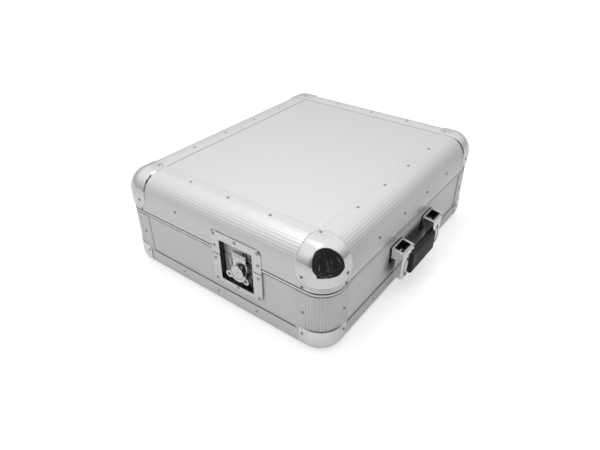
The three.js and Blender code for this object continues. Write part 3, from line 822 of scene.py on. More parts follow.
    def soften(
        self, radius: float, steps: int, chosen: Callable[[bmesh.types.BMEdge], bool], angle: float = 30.0,
    ) -> "Workpiece":
        """Rounds the edges that a test picks.

        Args:
            radius: The rounding's radius.
            steps: How many faces round it.
            chosen: Tells whether an edge is rounded.
            angle: Edges flatter than this, in degrees, are left.

        Returns:
            This piece.
        """
        least = math.radians(angle)
        edges = [
            edge for edge in self.bm.edges
            if len(edge.link_faces) == 2 and edge.calc_face_angle(0.0) > least and chosen(edge)
        ]
        bmesh.ops.bevel(
            self.bm, geom=edges, offset=radius, offset_type="OFFSET", segments=steps, profile=0.5,
            affect="EDGES", clamp_overlap=True, material=-1,
        )
        return self

    def paint(self, finish: int, chosen: Callable[[bmesh.types.BMFace], bool] | None = None) -> "Workpiece":
        """Gives the faces that a test picks, or all, another of the piece's finishes.

        Args:
            finish: The finish's number.
            chosen: Tells whether a face is painted.

        Returns:
            This piece.
        """
        for face in self.bm.faces:
            if chosen is None or chosen(face):
                face.material_index = finish
        return self

    def finish(
        self, name: str, finishes: Sequence[Finish], body: str, nodes: Sequence[str], slot: str,
        place: Matrix = UPRIGHT, sharp: float = 32.0,
    ) -> bpy.types.Object:
        """Turns the piece into an object of the case.

        Args:
            name: The object's name.
            finishes: Its finishes, in the order of its painted faces.
            body: The body that it rides on.
            nodes: The frame's nodes that it stands for.
            slot: A material slot's name; it is not used.
            place: Its place, in millimetres.
            sharp: The angle, in degrees, from which an edge stays sharp.

        Returns:
            The object.
        """
        bm = self.bm
        bmesh.ops.remove_doubles(bm, verts=bm.verts, dist=0.002)
        bmesh.ops.recalc_face_normals(bm, faces=bm.faces)
        bmesh.ops.transform(bm, matrix=Matrix.Scale(MM, 4) @ place, verts=bm.verts)
        limit = math.radians(sharp)
        for edge in bm.edges:
            edge.smooth = len(edge.link_faces) == 2 and edge.calc_face_angle(0.0) < limit
        for face in bm.faces:
            face.smooth = True
        mesh = bpy.data.meshes.new(name)
        bm.to_mesh(mesh)
        bm.free()
        piece = bpy.data.objects.new(name, mesh)
        bpy.context.scene.collection.objects.link(piece)
        for item in finishes:
            mesh.materials.append(item.material())
        even = piece.modifiers.new("even_shading", "WEIGHTED_NORMAL")
        even.keep_sharp = True
        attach(piece, body)
        if nodes:
            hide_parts(*nodes)
        LOG.info("%s rides on %s: %d faces", name, body, len(mesh.polygons))
        return piece


def near(value: float, wanted: float, within: float = 0.01) -> bool:
    """Whether two sizes agree."""
    return abs(value - wanted) < within


def both(edge: bmesh.types.BMEdge, axis: int, wanted: float) -> bool:
    """Whether both ends of an edge lie at one place on an axis."""
    return all(near(vert.co[axis], wanted) for vert in edge.verts)


def runs(edge: bmesh.types.BMEdge, axis: int) -> bool:
    """Whether an edge runs along an axis."""
    way = edge.verts[1].co - edge.verts[0].co
    return way.length > 1e-6 and abs(way[axis]) > 0.999 * way.length


def arc(centre: Point, radius: float, start: float, end: float, steps: int) -> list[Point]:
    """Points along an arc.

    Args:
        centre: The arc's centre.
        radius: Its radius.
        start: Its first angle, in degrees.
        end: Its last angle, in degrees.
        steps: How many steps it has.

    Returns:
        The points, both ends among them.
    """
    points = []
    for i in range(steps + 1):
        angle = math.radians(start + (end - start) * i / steps)
        points.append((centre[0] + radius * math.cos(angle), centre[1] + radius * math.sin(angle)))
    return points


def round_rectangle(low: Point, high: Point, radius: float, steps: int) -> list[Point]:
    """A rectangle with round corners, from its lower right corner on.

    Args:
        low: Its lower left corner.
        high: Its upper right corner.
        radius: Its corners' radius.
        steps: How many steps each corner has.

    Returns:
        The outline.
    """
    left, right = low[0] + radius, high[0] - radius
    bottom, top = low[1] + radius, high[1] - radius
    points = []
    for turn, centre in enumerate(((right, bottom), (right, top), (left, top), (left, bottom)), -1):
        points += arc(centre, radius, 90 * turn, 90 * turn + 90, steps)
    return points


@dataclass(frozen=True)
class RivetHead:
    """A domed blind rivet with the small hole of its mandrel."""

    radius: float = 2.8
    crown: float = 1.0
    hole: float = 0.75
    steps: int = 14

    def shape(self) -> Workpiece:
        """The head, seated on z = 0.

        Returns:
            The head.
        """
        outline = [
            (0.0, self.crown * 0.35), (self.hole, self.crown * 0.35), (self.hole * 1.15, self.crown * 0.98),
            (self.radius * 0.62, self.crown * 0.86), (self.radius * 0.9, self.crown * 0.42),
            (self.radius, 0.0), (self.radius * 0.98, -0.4),
        ]
        return Workpiece().turned(outline, self.steps)

    def set_in(self, piece: Workpiece, places: Iterable[Matrix], finish: int = 1) -> Workpiece:
        """Sets heads into a piece.

        Args:
            piece: The piece.
            places: Where they go.
            finish: Which of the piece's finishes they have.

        Returns:
            The piece.
        """
        head = self.shape().paint(finish)
        for place in places:
            piece.add(head, place)
        head.bm.free()
        return piece


RIVET = RivetHead()
WIDE_RIVET = RivetHead(radius=3.5, hole=1.0)


@dataclass
class EdgeSections:
    """The ribbed round aluminium sections: the base's corner posts and the lid's edges."""

    ribs: int = 12
    rib_depth: float = 0.23
    post_rib_depth: float = 0.5
    land: float = 0.62
    groove: tuple[float, float] = (0.70, 0.92)
    feather: tuple[float, float] = (3.0, 1.0)
    top_rivet: float = 41.0
    side_rivet_drop: float = 38.0
    post_rivet: tuple[float, float] = (43.0, 69.0)
    recess: tuple[float, float, float, float] = (-2.0, 14.0, 100.0, 131.45)
    rivet_clear: float = 45.0

    def outline(self, depth: float) -> list[Point]:
        """The section: inwards from one face and from the other.

        Args:
            depth: How deep the grooves between the ribs are.

        Returns:
            The outline.
        """
        size = SIZES
        points: list[Point] = [(size.flange, self.feather[1]), (size.flange - self.feather[0], 0.0)]
        middle = (size.corner, size.corner)
        pitch = 90.0 / self.ribs
        for rib in range(self.ribs):
            start = -90.0 - rib * pitch
            points += arc(middle, size.corner, start, start - self.land * pitch, 3)
            low, high = self.groove
            points += arc(middle, size.corner - depth, start - low * pitch, start - high * pitch, 2)
        points += [(0.0, size.corner), (0.0, size.flange), (size.skin, size.flange)]
        end = size.corner + size.skin
        points += [(size.skin, end), (size.slot, end), (size.slot, size.flange), (size.profile, size.flange)]
        points.append((size.profile, size.corner))
        points += arc(middle, size.corner - size.skin, 180.0, 270.0, 16)
        points += [(size.corner, size.profile), (size.flange, size.profile), (size.flange, size.slot)]
        points += [(end, size.slot), (end, size.skin), (size.flange, size.skin)]
        return points

    def build_posts(self) -> None:
        """Makes the four corner posts of the base."""
        inset, height = self.post_rivet
        for corner in Corner:
            section = self.outline(self.post_rib_depth)
            post = Workpiece().prism(section, SIZES.edging_top + SIZES.fit, SIZES.rim_bottom - SIZES.fit)
            RIVET.set_in(post, [Facing.SIDE.at(inset, 0, height), Facing.END.at(0, inset, height)])
            node = f"corner_post_{corner.label}"
            post.finish(
                f"ribbed_post_{corner.label}", [SECTION_UPRIGHT, RIVET_FINISH], "base", [node], "extrusion",
                corner.place,
            )

    def build_lid_edges(self) -> None:
        """Makes the four ribbed edges of the lid, mitred where they meet."""
        section = [(inwards, SIZES.crown - down) for inwards, down in self.outline(self.rib_depth)]
        for wall in Wall:
            half = wall.half - SIZES.corner
            edge = Workpiece().prism(section, -half, half, ALONG)
            for end in (-1, 1):
                edge.trim((end * (half - SIZES.fit), SIZES.corner, 0), (end, 1, 0))
            places = [Facing.TOP.at(x, self.top_rivet, SIZES.crown) for x in wall.rivet_row]
            at = wall.latch_at
            if at is not None:
                reach = SIZES.dish_half + SIZES.fit
                front, back, low, high = self.recess
                edge.cut(Workpiece().block((at - reach, front, low), (at + reach, back, high)))
            for x in wall.rivet_row:
                if at is None or abs(x - at) > self.rivet_clear:
                    places.append(Facing.SIDE.at(x, 0, SIZES.crown - self.side_rivet_drop))
            RIVET.set_in(edge, places)
            edge.finish(
                f"ribbed_edge_{wall.label}", [section_finish(wall), RIVET_FINISH], "lid",
                [f"lid_edging_{wall.label}"], "extrusion", wall.place,
            )

    def build(self) -> None:
        """Makes every ribbed section."""
        self.build_posts()
        self.build_lid_edges()


@dataclass
class BottomEdging:
    """The plain angle along each bottom edge."""

    reach: float = 26.0
    round: float = 7.0
    stop: float = 48.5
    rivet_height: float = 20.0
    lip: tuple[float, float] = (0.7, 3.0)
    ease: float = 0.3

    def build(self) -> None:
        """Makes the four angles, mitred where they meet."""
        low, top, skin = SIZES.underside, SIZES.edging_top, SIZES.skin
        bend = (self.round, low + self.round)
        section = [(self.reach, low), (self.reach, low + skin)]
        section += arc(bend, self.round - skin, 270.0, 180.0, 6)
        thin, tall = self.lip
        section += [(skin, top - tall - 1), (thin, top - tall), (thin, top)]
        section += [(self.ease, top), (0.0, top - self.ease)]
        section += arc(bend, self.round, 180.0, 270.0, 8)
        for wall in Wall:
            half = wall.half - self.stop - 2 * SIZES.fit
            angle = Workpiece().prism(section, -half, half, ALONG)
            for end in (-1, 1):
                angle.trim((end * half, SIZES.slot, 0), (end, 1, 0))
            rivets = [Facing.SIDE.at(x, 0, self.rivet_height) for x in wall.rivet_row]
            RIVET.set_in(angle, rivets)
            angle.finish(
                f"bottom_angle_{wall.label}", [section_finish(wall), PLATE_RIVET], "base",
                [f"bottom_edging_{wall.label}"], "extrusion", wall.place,
            )


@dataclass
class ClosingRims:
    """The two rims that meet at the seam, each in two halves between the latches."""

    steps: int = 12
    tongue: float = 3.0
    tongue_rise: float = 4.0
    play: float = 1.0
    seam_gap: float = 0.4
    lid_top: float = 122.75
    rivet_inset: float = 44.5
    shadow: tuple[float, float] = (0.4, 1.4)
    gasket: tuple[float, float] = (1.3, 1.3)
    channel: float = 4.0
    ease: float = 0.4

    def swept(self, section: Sequence[Point], leg: float) -> Workpiece:
        """Draws a section along a wall, round two corners and back along the other wall.

        Args:
            section: Inwards and height.
            leg: How long the straight part of each side wall is.

        Returns:
            The rim's half, at the front of the case.
        """
        piece = Workpiece()
        bm = piece.bm
        x, y = SIZES.length / 2, SIZES.depth / 2
        bend = Vector((-x + SIZES.corner, -y + SIZES.corner, 0))
        ring = [bm.verts.new((-x + inwards, bend.y + leg, height)) for inwards, height in section]
        edges = [bm.edges.new(pair) for pair in zip(ring, [*ring[1:], ring[0]])]
        first = list(ring)

        def straight(loop: list, run: Vector) -> list:
            """Draws the loop straight on.

            Args:
                loop: Its edges.
                run: How far and which way.

            Returns:
                The far loop.
            """
            made = bmesh.ops.extrude_edge_only(bm, edges=loop)["geom"]
            bmesh.ops.translate(bm, verts=[v for v in made if isinstance(v, bmesh.types.BMVert)], vec=run)
            return [e for e in made if isinstance(e, bmesh.types.BMEdge)]

        def turn(loop: list, centre: Vector) -> list:
            """Draws the loop round a corner.

            Args:
                loop: Its edges.
                centre: The corner's centre.

            Returns:
                The far loop.
            """
            verts = list({vert for edge in loop for vert in edge.verts})
            made = bmesh.ops.spin(
                bm, geom=[*verts, *loop], cent=centre, axis=(0, 0, 1), dvec=(0, 0, 0), angle=math.pi / 2,
                steps=self.steps, use_merge=False, use_duplicate=False,
            )["geom_last"]
            return [e for e in made if isinstance(e, bmesh.types.BMEdge)]

        edges = straight(edges, Vector((0, -leg, 0)))
        edges = turn(edges, bend)
        edges = straight(edges, Vector((-2 * bend.x, 0, 0)))
        edges = turn(edges, Vector((-bend.x, bend.y, 0)))
        edges = straight(edges, Vector((0, leg, 0)))
        bm.faces.new(first)
        bmesh.ops.contextual_create(bm, geom=edges)
        return piece

    def build(self) -> None:
        """Makes both rims."""
        size = SIZES
        middle = size.skin + size.fit + size.board / 2
        thin, tall, ease = self.tongue / 2, size.seam + self.tongue_rise, self.ease
        foot, channel = size.rim_bottom, size.seam - self.channel
        shade, dark = self.shadow[0], foot + self.shadow[1]
        deep, gasket = self.gasket[0], size.seam - self.gasket[1]
        base = [
            (shade, foot), (shade, dark), (0.1, dark + 0.05), (0.0, dark + 0.15), (0.0, gasket - 0.3),
            (0.3, gasket), (deep, gasket), (deep, size.seam),
            (middle - thin, size.seam), (middle - thin, tall - ease), (middle - thin + ease, tall),
            (middle + thin - ease, tall), (middle + thin, tall - ease), (middle + thin, size.seam),
            (size.profile, size.seam), (size.profile, foot), (size.slot, foot),
            (size.slot, channel), (size.skin, channel), (size.skin, foot),
        ]
        wide, low = thin + self.play, size.seam + self.seam_gap
        groove = size.seam + self.tongue_rise + self.play
        lid = [
            (0.5, low), (0.0, low + 0.5), (0.0, self.lid_top - 0.1), (0.1, self.lid_top),
            (size.skin, self.lid_top), (size.skin, groove + size.skin), (size.slot, groove + size.skin),
            (size.slot, self.lid_top),
            (size.profile, self.lid_top), (size.profile, low), (middle + wide, low), (middle + wide, groove),
            (middle - wide, groove), (middle - wide, low),
        ]
        reach, bend = size.dish_half, size.depth / 2 - size.corner
        height = (groove + size.skin + low) / 2
        for label, turn, latch in (("front", 0.0, -size.latch_shift), ("back", math.pi, size.latch_shift)):
            place = Matrix.Translation((0, size.centre_y, 0)) @ Matrix.Rotation(turn, 4, "Z")
            rim = self.swept(base, bend + latch - reach - 1.5)
            # Painted shade: the seam's ledge and the rebate at the rim's foot are painted black.
            rim.paint(1, lambda face: gasket - 0.1 < face.calc_center_median().z < size.seam - 0.1)
            rim.paint(1, lambda face: face.calc_center_median().z < dark + 0.04)
            rim.finish(
                f"tongue_rim_{label}", [RIM_FINISH, GASKET_AND_SHADE], "base", [f"base_rim_{label}"],
                "extrusion", place,
            )
            rim = self.swept(lid, bend + latch - reach - size.fit)
            x, y = size.length / 2, size.depth / 2
            rivets = [Facing.SIDE.at(end * (x - self.rivet_inset), -y, height) for end in (-1, 1)]
            for end in (-1, 1):
                spot = Matrix.Translation((end * x, -y + self.rivet_inset, height))
                turned = Matrix.Rotation(math.radians(90 * end), 4, "Z")
                rivets.append(spot @ turned @ Facing.SIDE.at(0, 0, 0))
            RIVET.set_in(rim, rivets)
            rim.finish(
                f"groove_rim_{label}", [RIM_FINISH, RIVET_FINISH], "lid", [f"lid_rim_{label}"],
                "extrusion", place,
            )


@dataclass
class PressedCorners:
    """The lid's ball corners and the base's corner caps."""

    proud: float = 1.6
    ball_gap: float = 0.35
    ball_ear: float = 17.5
    ball_steps: int = 20
    cap_top: float = 39.0
    cap_reach: float = 48.5
    cap_ear: float = 10.5
    cap_nose: float = 4.5
    cap_round: float = 14.0
    cap_wall: float = 1.4
    cap_rivet: tuple[float, float] = (43.0, 28.0)
    ball_rivet: float = 44.5
    crown_rivet: float = 48.0
    span: float = 120.0
    trim_from: tuple[float, float, float] = (-20.0, -20.0, -5.0)

    def rounded(self, proud: float, top: float) -> Workpiece:
        """A block with one round corner at the top, as large as the ball and its ears need.

        Args:
            proud: How far it stands out of the case.
            top: The height of the case's top.

        Returns:
            The block.
        """
        high = top + proud
        piece = Workpiece().block((-proud, -proud, high - self.span), (self.span, self.span, high))

        def at_corner(edge: bmesh.types.BMEdge) -> bool:
            """Whether the edge meets the outer top corner."""
            sides = [both(edge, 0, -proud), both(edge, 1, -proud), both(edge, 2, high)]
            return sum(sides) == 2

        return piece.soften(SIZES.corner + proud, self.ball_steps, at_corner)

    def ball(self) -> Workpiece:
        """One ball corner, in its corner's frame.

        Returns:
            The ball corner.
        """
        radius = math.hypot(SIZES.corner + self.proud, self.ball_ear)
        centre = (SIZES.corner, SIZES.corner, SIZES.crown - SIZES.corner)
        shell = self.rounded(self.proud, SIZES.crown)
        shell.within(Workpiece().ball(centre, radius, 128))
        shell.cut(self.rounded(self.ball_gap, SIZES.crown))
        side, height = self.ball_rivet, SIZES.crown - self.ball_rivet
        return RIVET.set_in(shell, [
            Facing.TOP.at(self.crown_rivet, self.crown_rivet, SIZES.crown + self.proud),
            Facing.SIDE.at(side, -self.proud, height), Facing.END.at(-self.proud, side, height),
        ])

    def bowl(self, proud: float, low: float, round_: float) -> Workpiece:
        """A block with one round upright edge and a rounded bottom.

        Args:
            proud: How far it stands out of the case.
            low: The height of its bottom.
            round_: The bottom's rounding.

        Returns:
            The block.
        """
        piece = Workpiece().block((-proud, -proud, low), (self.span, self.span, self.span))
        piece.soften(
            SIZES.corner + proud, 24, lambda e: runs(e, 2) and both(e, 0, -proud) and both(e, 1, -proud),
        )
        far = self.span - 0.01
        return piece.soften(
            round_, 8, lambda e: both(e, 2, low) and all(v.co.x < far and v.co.y < far for v in e.verts)
            or both(e, 2, low) and (both(e, 0, -proud) or both(e, 1, -proud)),
        )

    def cap(self) -> Workpiece:
        """One corner cap, in its corner's frame.

        Returns:
            The cap.
        """
        outer = self.bowl(self.proud, 0.0, self.cap_round)
        inner = self.bowl(self.proud - self.cap_wall, self.cap_wall, self.cap_round - self.cap_wall)
        reach, top = self.cap_reach, self.cap_top
        trim = Workpiece().block(self.trim_from, (reach, reach, top))
        trim.soften(self.cap_ear, 8, lambda e: runs(e, 2) and both(e, 0, reach) and both(e, 1, reach))
        trim.soften(self.cap_nose, 5, lambda e: both(e, 2, top) and (both(e, 0, reach) or both(e, 1, reach)))
        outer.within(trim).cut(inner)
        side, height = self.cap_rivet
        return RIVET.set_in(outer, [
            Facing.SIDE.at(side, -self.proud, height), Facing.END.at(-self.proud, side, height),
        ])

    def build(self) -> None:
        """Makes all eight corners."""
        ball, cap = self.ball(), self.cap()
        for corner in Corner:
            Workpiece().add(ball).finish(
                f"pressed_ball_{corner.label}", [CORNER_FINISH, RIVET_FINISH], "lid",
                [f"ball_corner_{corner.label}"], "pressed_corner", corner.place, 40.0,
            )
            Workpiece().add(cap).finish(
                f"pressed_cap_{corner.label}", [CAP_FINISH, RIVET_FINISH], "base",
                [f"corner_cap_{corner.label}"], "pressed_corner", corner.place, 40.0,
            )
        ball.bm.free()
        cap.bm.free()


@dataclass
class TurnLatch:
    """A recessed butterfly latch: dish, keeper dish, hook, key and its folding wings."""

    key_height: float = 81.48
    face: float = -1.6
    half: float = 50.0
    low: float = -34.88
    split: float = 19.62
    parting: float = 0.7
    high: float = 62.01
    plate_round: float = 9.0
    plate_ease: float = 0.7
    lap: float = 0.8
    dish_half: float = 33.25
    dish_low: float = -26.16
    dish_high: float = 48.61
    dish_depth: float = 9.4
    dish_wall: float = 1.2
    dish_round: float = 2.2
    rivet_side: float = 44.0
    rivet_edge: float = 5.5
    rivet_middle: float = 9.0
    hook_half: float = 14.0
    hook_face: float = 4.8
    hook_thick: float = 1.6
    hook_ease: float = 0.35
    claw: float = 28.9
    claw_thick: float = 2.0
    claw_reach: float = 2.2
    crease_drop: float = 1.6
    keeper: tuple[float, float, float] = (13.0, 6.8, 3.4)
    bar_ease: float = 0.8
    cam_drop: float = 3.6
    disc: float = 12.4
    wing: tuple[float, float] = (12.7, 17.2)
    lobe: tuple[float, float, float, float] = (17.0, -9.7, 6.4, 2.9)
    pin_drop: float = -3.0
    guide: tuple[float, float, float, float] = (0.6, 1.2, 3.0, 5.0)
    sunk: float = 0.4
    hook_ring: float = 10.4
    hook_slot: float = 8.0
    crease: tuple[float, float, float] = (3.5, 1.0, 0.9)
    cam: tuple[float, float] = (6.9, 6.4)
    spindle: tuple[float, float] = (3.0, 9.15)
    boss: tuple[float, float, float] = (3.3, 5.2, 2.4)
    # The rivet in the key's middle: its radius and how proud it stands.
    centre_rivet: tuple[Point, ...] = ((0.0, 0.35), (1.2, 0.4), (1.9, 0.78), (2.6, 0.55), (3.0, 0.0))
    # The disc's rim: how far inwards and how deep.
    disc_rim: tuple[Point, ...] = ((0.7, 0.0), (0.15, 0.25), (0.0, 0.7), (0.0, 1.7), (0.3, 2.0))
    wing_thick: float = 2.0
    wing_ease: float = 0.45
    wing_pin: tuple[float, float, float] = (0.8, 15.0, 0.5)
    eye: tuple[float, float, float] = (1.6, 11.8, 15.4)
    wing_bore: tuple[float, float] = (1.1, 19.0)

    def dish(self) -> Workpiece:
        """The plate with its sunk dish, before the split cuts it.

        Returns:
            The piece.
        """
        low, high, wall, depth = self.dish_low, self.dish_high, self.dish_wall, self.dish_depth
        flat = round_rectangle((-self.half, self.low), (self.half, self.high), self.plate_round, 8)
        plate = Workpiece().prism(flat, self.face, 0.0, INWARD)
        plate.soften(self.plate_ease, 3, lambda e: both(e, 1, self.face))
        half = self.dish_half + wall
        back = round_rectangle((-half, low - wall), (half, high + wall), self.dish_round + wall, 8)
        plate.join(Workpiece().prism(back, self.face + self.lap, depth + wall, INWARD))
        hollow = round_rectangle((-self.dish_half, low), (self.dish_half, high), self.dish_round, 8)
        plate.cut(Workpiece().prism(hollow, self.face - 2 * PAST, depth, INWARD))
        return plate

    def blacken(self, plate: Workpiece) -> Workpiece:
        """Paints the inside of the dish near black as shade, and its back with the dish back's finish.

        Args:
            plate: The plate with its dish.

        Returns:
            The plate.
        """
        def inside(face: bmesh.types.BMFace) -> bool:
            """Whether a face is in the dish.

            Args:
                face: The face.

            Returns:
                Whether it is.
            """
            middle = face.calc_center_median()
            sunk = self.face + 0.9 < middle.y < self.dish_depth + 0.01
            return sunk and abs(middle.x) < self.dish_half + 0.01

        plate.paint(1, inside)
        floor = self.dish_depth
        return plate.paint(3, lambda face: near(face.calc_center_median().y, floor) and inside(face))

    def build_dish(self, wall: Wall, place: Matrix) -> None:
        """Makes the base's plate and dish, with the guides and the spindle's boss.

        Args:
            wall: The wall that it is on.
            place: The latch's frame on that wall.
        """
        top = self.split - self.parting
        plate = self.dish().trim((0, 0, top), (0, 0, 1))
        # The split's cut face is painted near black, as shade in the gap.
        plate.paint(1, lambda face: near(face.calc_center_median().z, top))
        self.blacken(plate)
        play, thick, face, bottom = self.guide
        for end in (-1, 1):
            middle = end * (self.hook_half + play + thick)
            guide = Workpiece().block(
                (middle - thick, face, bottom), (middle + thick, self.dish_depth + self.sunk, top),
            )
            guide.soften(EASE, 2, lambda e: both(e, 1, face))
            plate.add(guide.paint(0))
        inner, outer, high = self.boss
        boss = Workpiece().turned([
            (inner, self.sunk), (inner, 0.4 - high), (inner + 0.5, -high), (outer - 0.4, -high),
            (outer, 0.4 - high), (outer, self.sunk),
        ])
        plate.add(boss.paint(0), Matrix.Translation((0, self.dish_depth, 0)) @ SPINDLE)
        side, low, middle = self.rivet_side, self.low + self.rivet_edge, top - self.rivet_middle
        spots = [(-side, middle), (side, middle), (-side, low), (side, low), (0, low)]
        WIDE_RIVET.set_in(plate, [Facing.SIDE.at(x, self.face, z) for x, z in spots], 2)
        plate.finish(
            f"latch_plate_{wall.label}", [LATCH_FINISH, LATCH_SHADE, PLATE_RIVET, DISH_BACK], "base",
            [f"latch_dish_{wall.label}"], "latch_plate", place,
        )

    def build_keeper(self, wall: Wall, place: Matrix) -> None:
        """Makes the lid's plate and dish, with the keeper's bar.

        Args:
            wall: The wall that it is on.
            place: The latch's frame on that wall.
        """
        low = self.split + self.parting
        plate = self.dish().trim((0, 0, low), (0, 0, -1))
        # The split's cut face is painted near black, as shade in the gap.
        plate.paint(1, lambda face: near(face.calc_center_median().z, low))
        self.blacken(plate)
        half, face, thick = self.keeper
        top = self.claw - SIZES.fit
        bar = Workpiece().block((-half, face, top - thick), (half, self.dish_depth + self.sunk, top))
        bar.soften(self.bar_ease, 3, lambda e: both(e, 1, face))
        plate.add(bar.paint(0))
        side, high = self.rivet_side, self.high - self.rivet_edge
        middle = low + self.rivet_middle + self.rivet_edge
        spots = [(-side, high), (0, high), (side, high), (-side, middle), (side, middle)]
        WIDE_RIVET.set_in(plate, [Facing.SIDE.at(x, self.face, z) for x, z in spots], 2)
        plate.finish(
            f"keeper_plate_{wall.label}", [LATCH_FINISH, LATCH_SHADE, PLATE_RIVET, DISH_BACK], "lid",
            [f"keeper_dish_{wall.label}"], "latch_plate", place,
        )

    def build_hook(self, wall: Wall, place: Matrix) -> None:
        """Makes the sliding hook with its slot and claw.

        Args:
            wall: The wall that it is on.
            place: The latch's frame on that wall.
        """
        drop, ring, half, face = self.cam_drop, self.hook_ring, self.hook_half, self.hook_face
        back, top = face + self.hook_thick, self.claw + self.claw_thick
        outline = arc((drop, -drop), ring, -90, 0, 12) + [(half, top), (-half, top)]
        outline += arc((-drop, -drop), ring, 180, 270, 12)
        plate = Workpiece().prism(outline, face, back, INWARD)
        radius = self.hook_slot
        slot = arc((drop, -drop), radius, -90, 90, 16) + arc((-drop, -drop), radius, 90, 270, 16)
        plate.cut(Workpiece().prism(slot, face - 2 * PAST, back + 2 * PAST, INWARD))
        plate.soften(self.hook_ease, 2, lambda e: both(e, 1, face), 60)
        claw = Workpiece().block((-half, face, self.claw), (half, back + self.claw_reach, top))
        claw.soften(EASE, 3, lambda e: runs(e, 0))
        plate.join(claw)
        inset, tall, deep = self.crease
        high = self.claw - self.crease_drop
        plate.cut(Workpiece().block(
            (inset - half, face - PAST, high - tall), (half + PAST, face + deep, high),
        ))

        def creased(side: bmesh.types.BMFace) -> bool:
            """Whether a face is in the crease."""
            middle = side.calc_center_median()
            return high - tall - 0.01 < middle.z < high + 0.01 and face + 0.01 < middle.y < face + 1.0

        # The crease is painted near black, as shade.
        plate.paint(1, creased)
        plate.finish(
            f"sliding_hook_{wall.label}", [LATCH_FINISH, LATCH_SHADE], f"{wall.label}_hook",
            [f"latch_hook_{wall.label}"], "latch_plate", place,
        )

    def build_key(self, wall: Wall, place: Matrix) -> None:
        """Makes the key: disc, cam, spindle, centre rivet and the wings' pin.

        Args:
            wall: The wall that it is on.
            place: The latch's frame on that wall.
        """
        front, disc = self.face + SIZES.fit, self.disc
        spindle, end = self.spindle
        outline = [(radius, front - proud) for radius, proud in self.centre_rivet]
        outline += [(disc - inwards, front + deep) for inwards, deep in self.disc_rim]
        outline += [(spindle, outline[-1][1]), (spindle, end), (0.0, end)]
        key = Workpiece().turned(outline, 64)
        radius, deep = self.cam
        start = front + 1.2
        cam = Workpiece().turned(
            [(0, start), (radius, start), (radius, deep - 0.2), (radius - 0.2, deep), (0, deep)], 48,
        )
        whole = Workpiece().add(key, SPINDLE).add(cam, Matrix.Translation((0, 0, -self.cam_drop)) @ SPINDLE)
        radius, reach, y = self.wing_pin
        whole.rod(radius, (-reach, y, self.pin_drop), (reach, y, self.pin_drop), 20)
        whole.finish(
            f"turn_key_{wall.label}", [LATCH_FINISH], f"{wall.label}_key", [f"latch_key_{wall.label}"],
            "latch_plate", place,
        )

    def build_wings(self, wall: Wall, place: Matrix) -> None:
        """Makes the folding wings: a half ring with two holed lobes and two eyes.

        Args:
            wall: The wall that it is on.
            place: The latch's frame on that wall.
        """
        front = self.face + SIZES.fit
        back = front + self.wing_thick
        inner, outer = self.wing
        across, drop, radius, hole = self.lobe
        eye, eye_start, eye_end = self.eye
        bore, reach = self.wing_bore
        top = self.pin_drop + eye
        start = math.degrees(math.asin(top / outer))
        ring = arc((0, 0), outer, start, -180 - start, 64)
        start = math.degrees(math.asin(top / inner))
        ring += arc((0, 0), inner, -180 - start, start, 64)
        wings = Workpiece().prism(ring, front, back, INWARD)

        def disc(centre: Point, size: float, steps: int, over: float) -> Workpiece:
            """A flat disc as thick as the wings, or thicker by an overrun on either face.

            Args:
                centre: Its centre.
                size: Its radius.
                steps: How many sides it has.
                over: The overrun.

            Returns:
                The disc.
            """
            return Workpiece().prism(
                arc(centre, size, 0, 360 - 360 / steps, steps - 1), front - over, back + over, INWARD,
            )

        for end in (-1, 1):
            wings.join(disc((end * across, drop), radius, 40, 0))
        for end in (-1, 1):
            wings.cut(disc((end * across, drop), hole, 30, PAST))
        wings.cut(disc((0, 0), inner, 90, PAST))
        wings.soften(self.wing_ease, 3, lambda e: both(e, 1, front), 60)
        y, z = self.wing_pin[2], self.pin_drop
        for end in (-1, 1):
            wings.join(Workpiece().rod(eye, (end * eye_start, y, z), (end * eye_end, y, z), 28))
        wings.cut(Workpiece().rod(bore, (-reach, y, z), (reach, y, z), 24))
        wings.finish(
            f"folding_wings_{wall.label}", [LATCH_FINISH], f"{wall.label}_wings",
            [f"latch_wings_{wall.label}"], "latch_plate", place,
        )

    def build(self) -> None:
        """Makes both latches."""
        for wall in Wall:
            if wall.latch_at is not None:
                place = wall.place @ Matrix.Translation((wall.latch_at, 0, self.key_height))
                self.build_dish(wall, place)
                self.build_keeper(wall, place)
                self.build_hook(wall, place)
                self.build_key(wall, place)
                self.build_wings(wall, place)


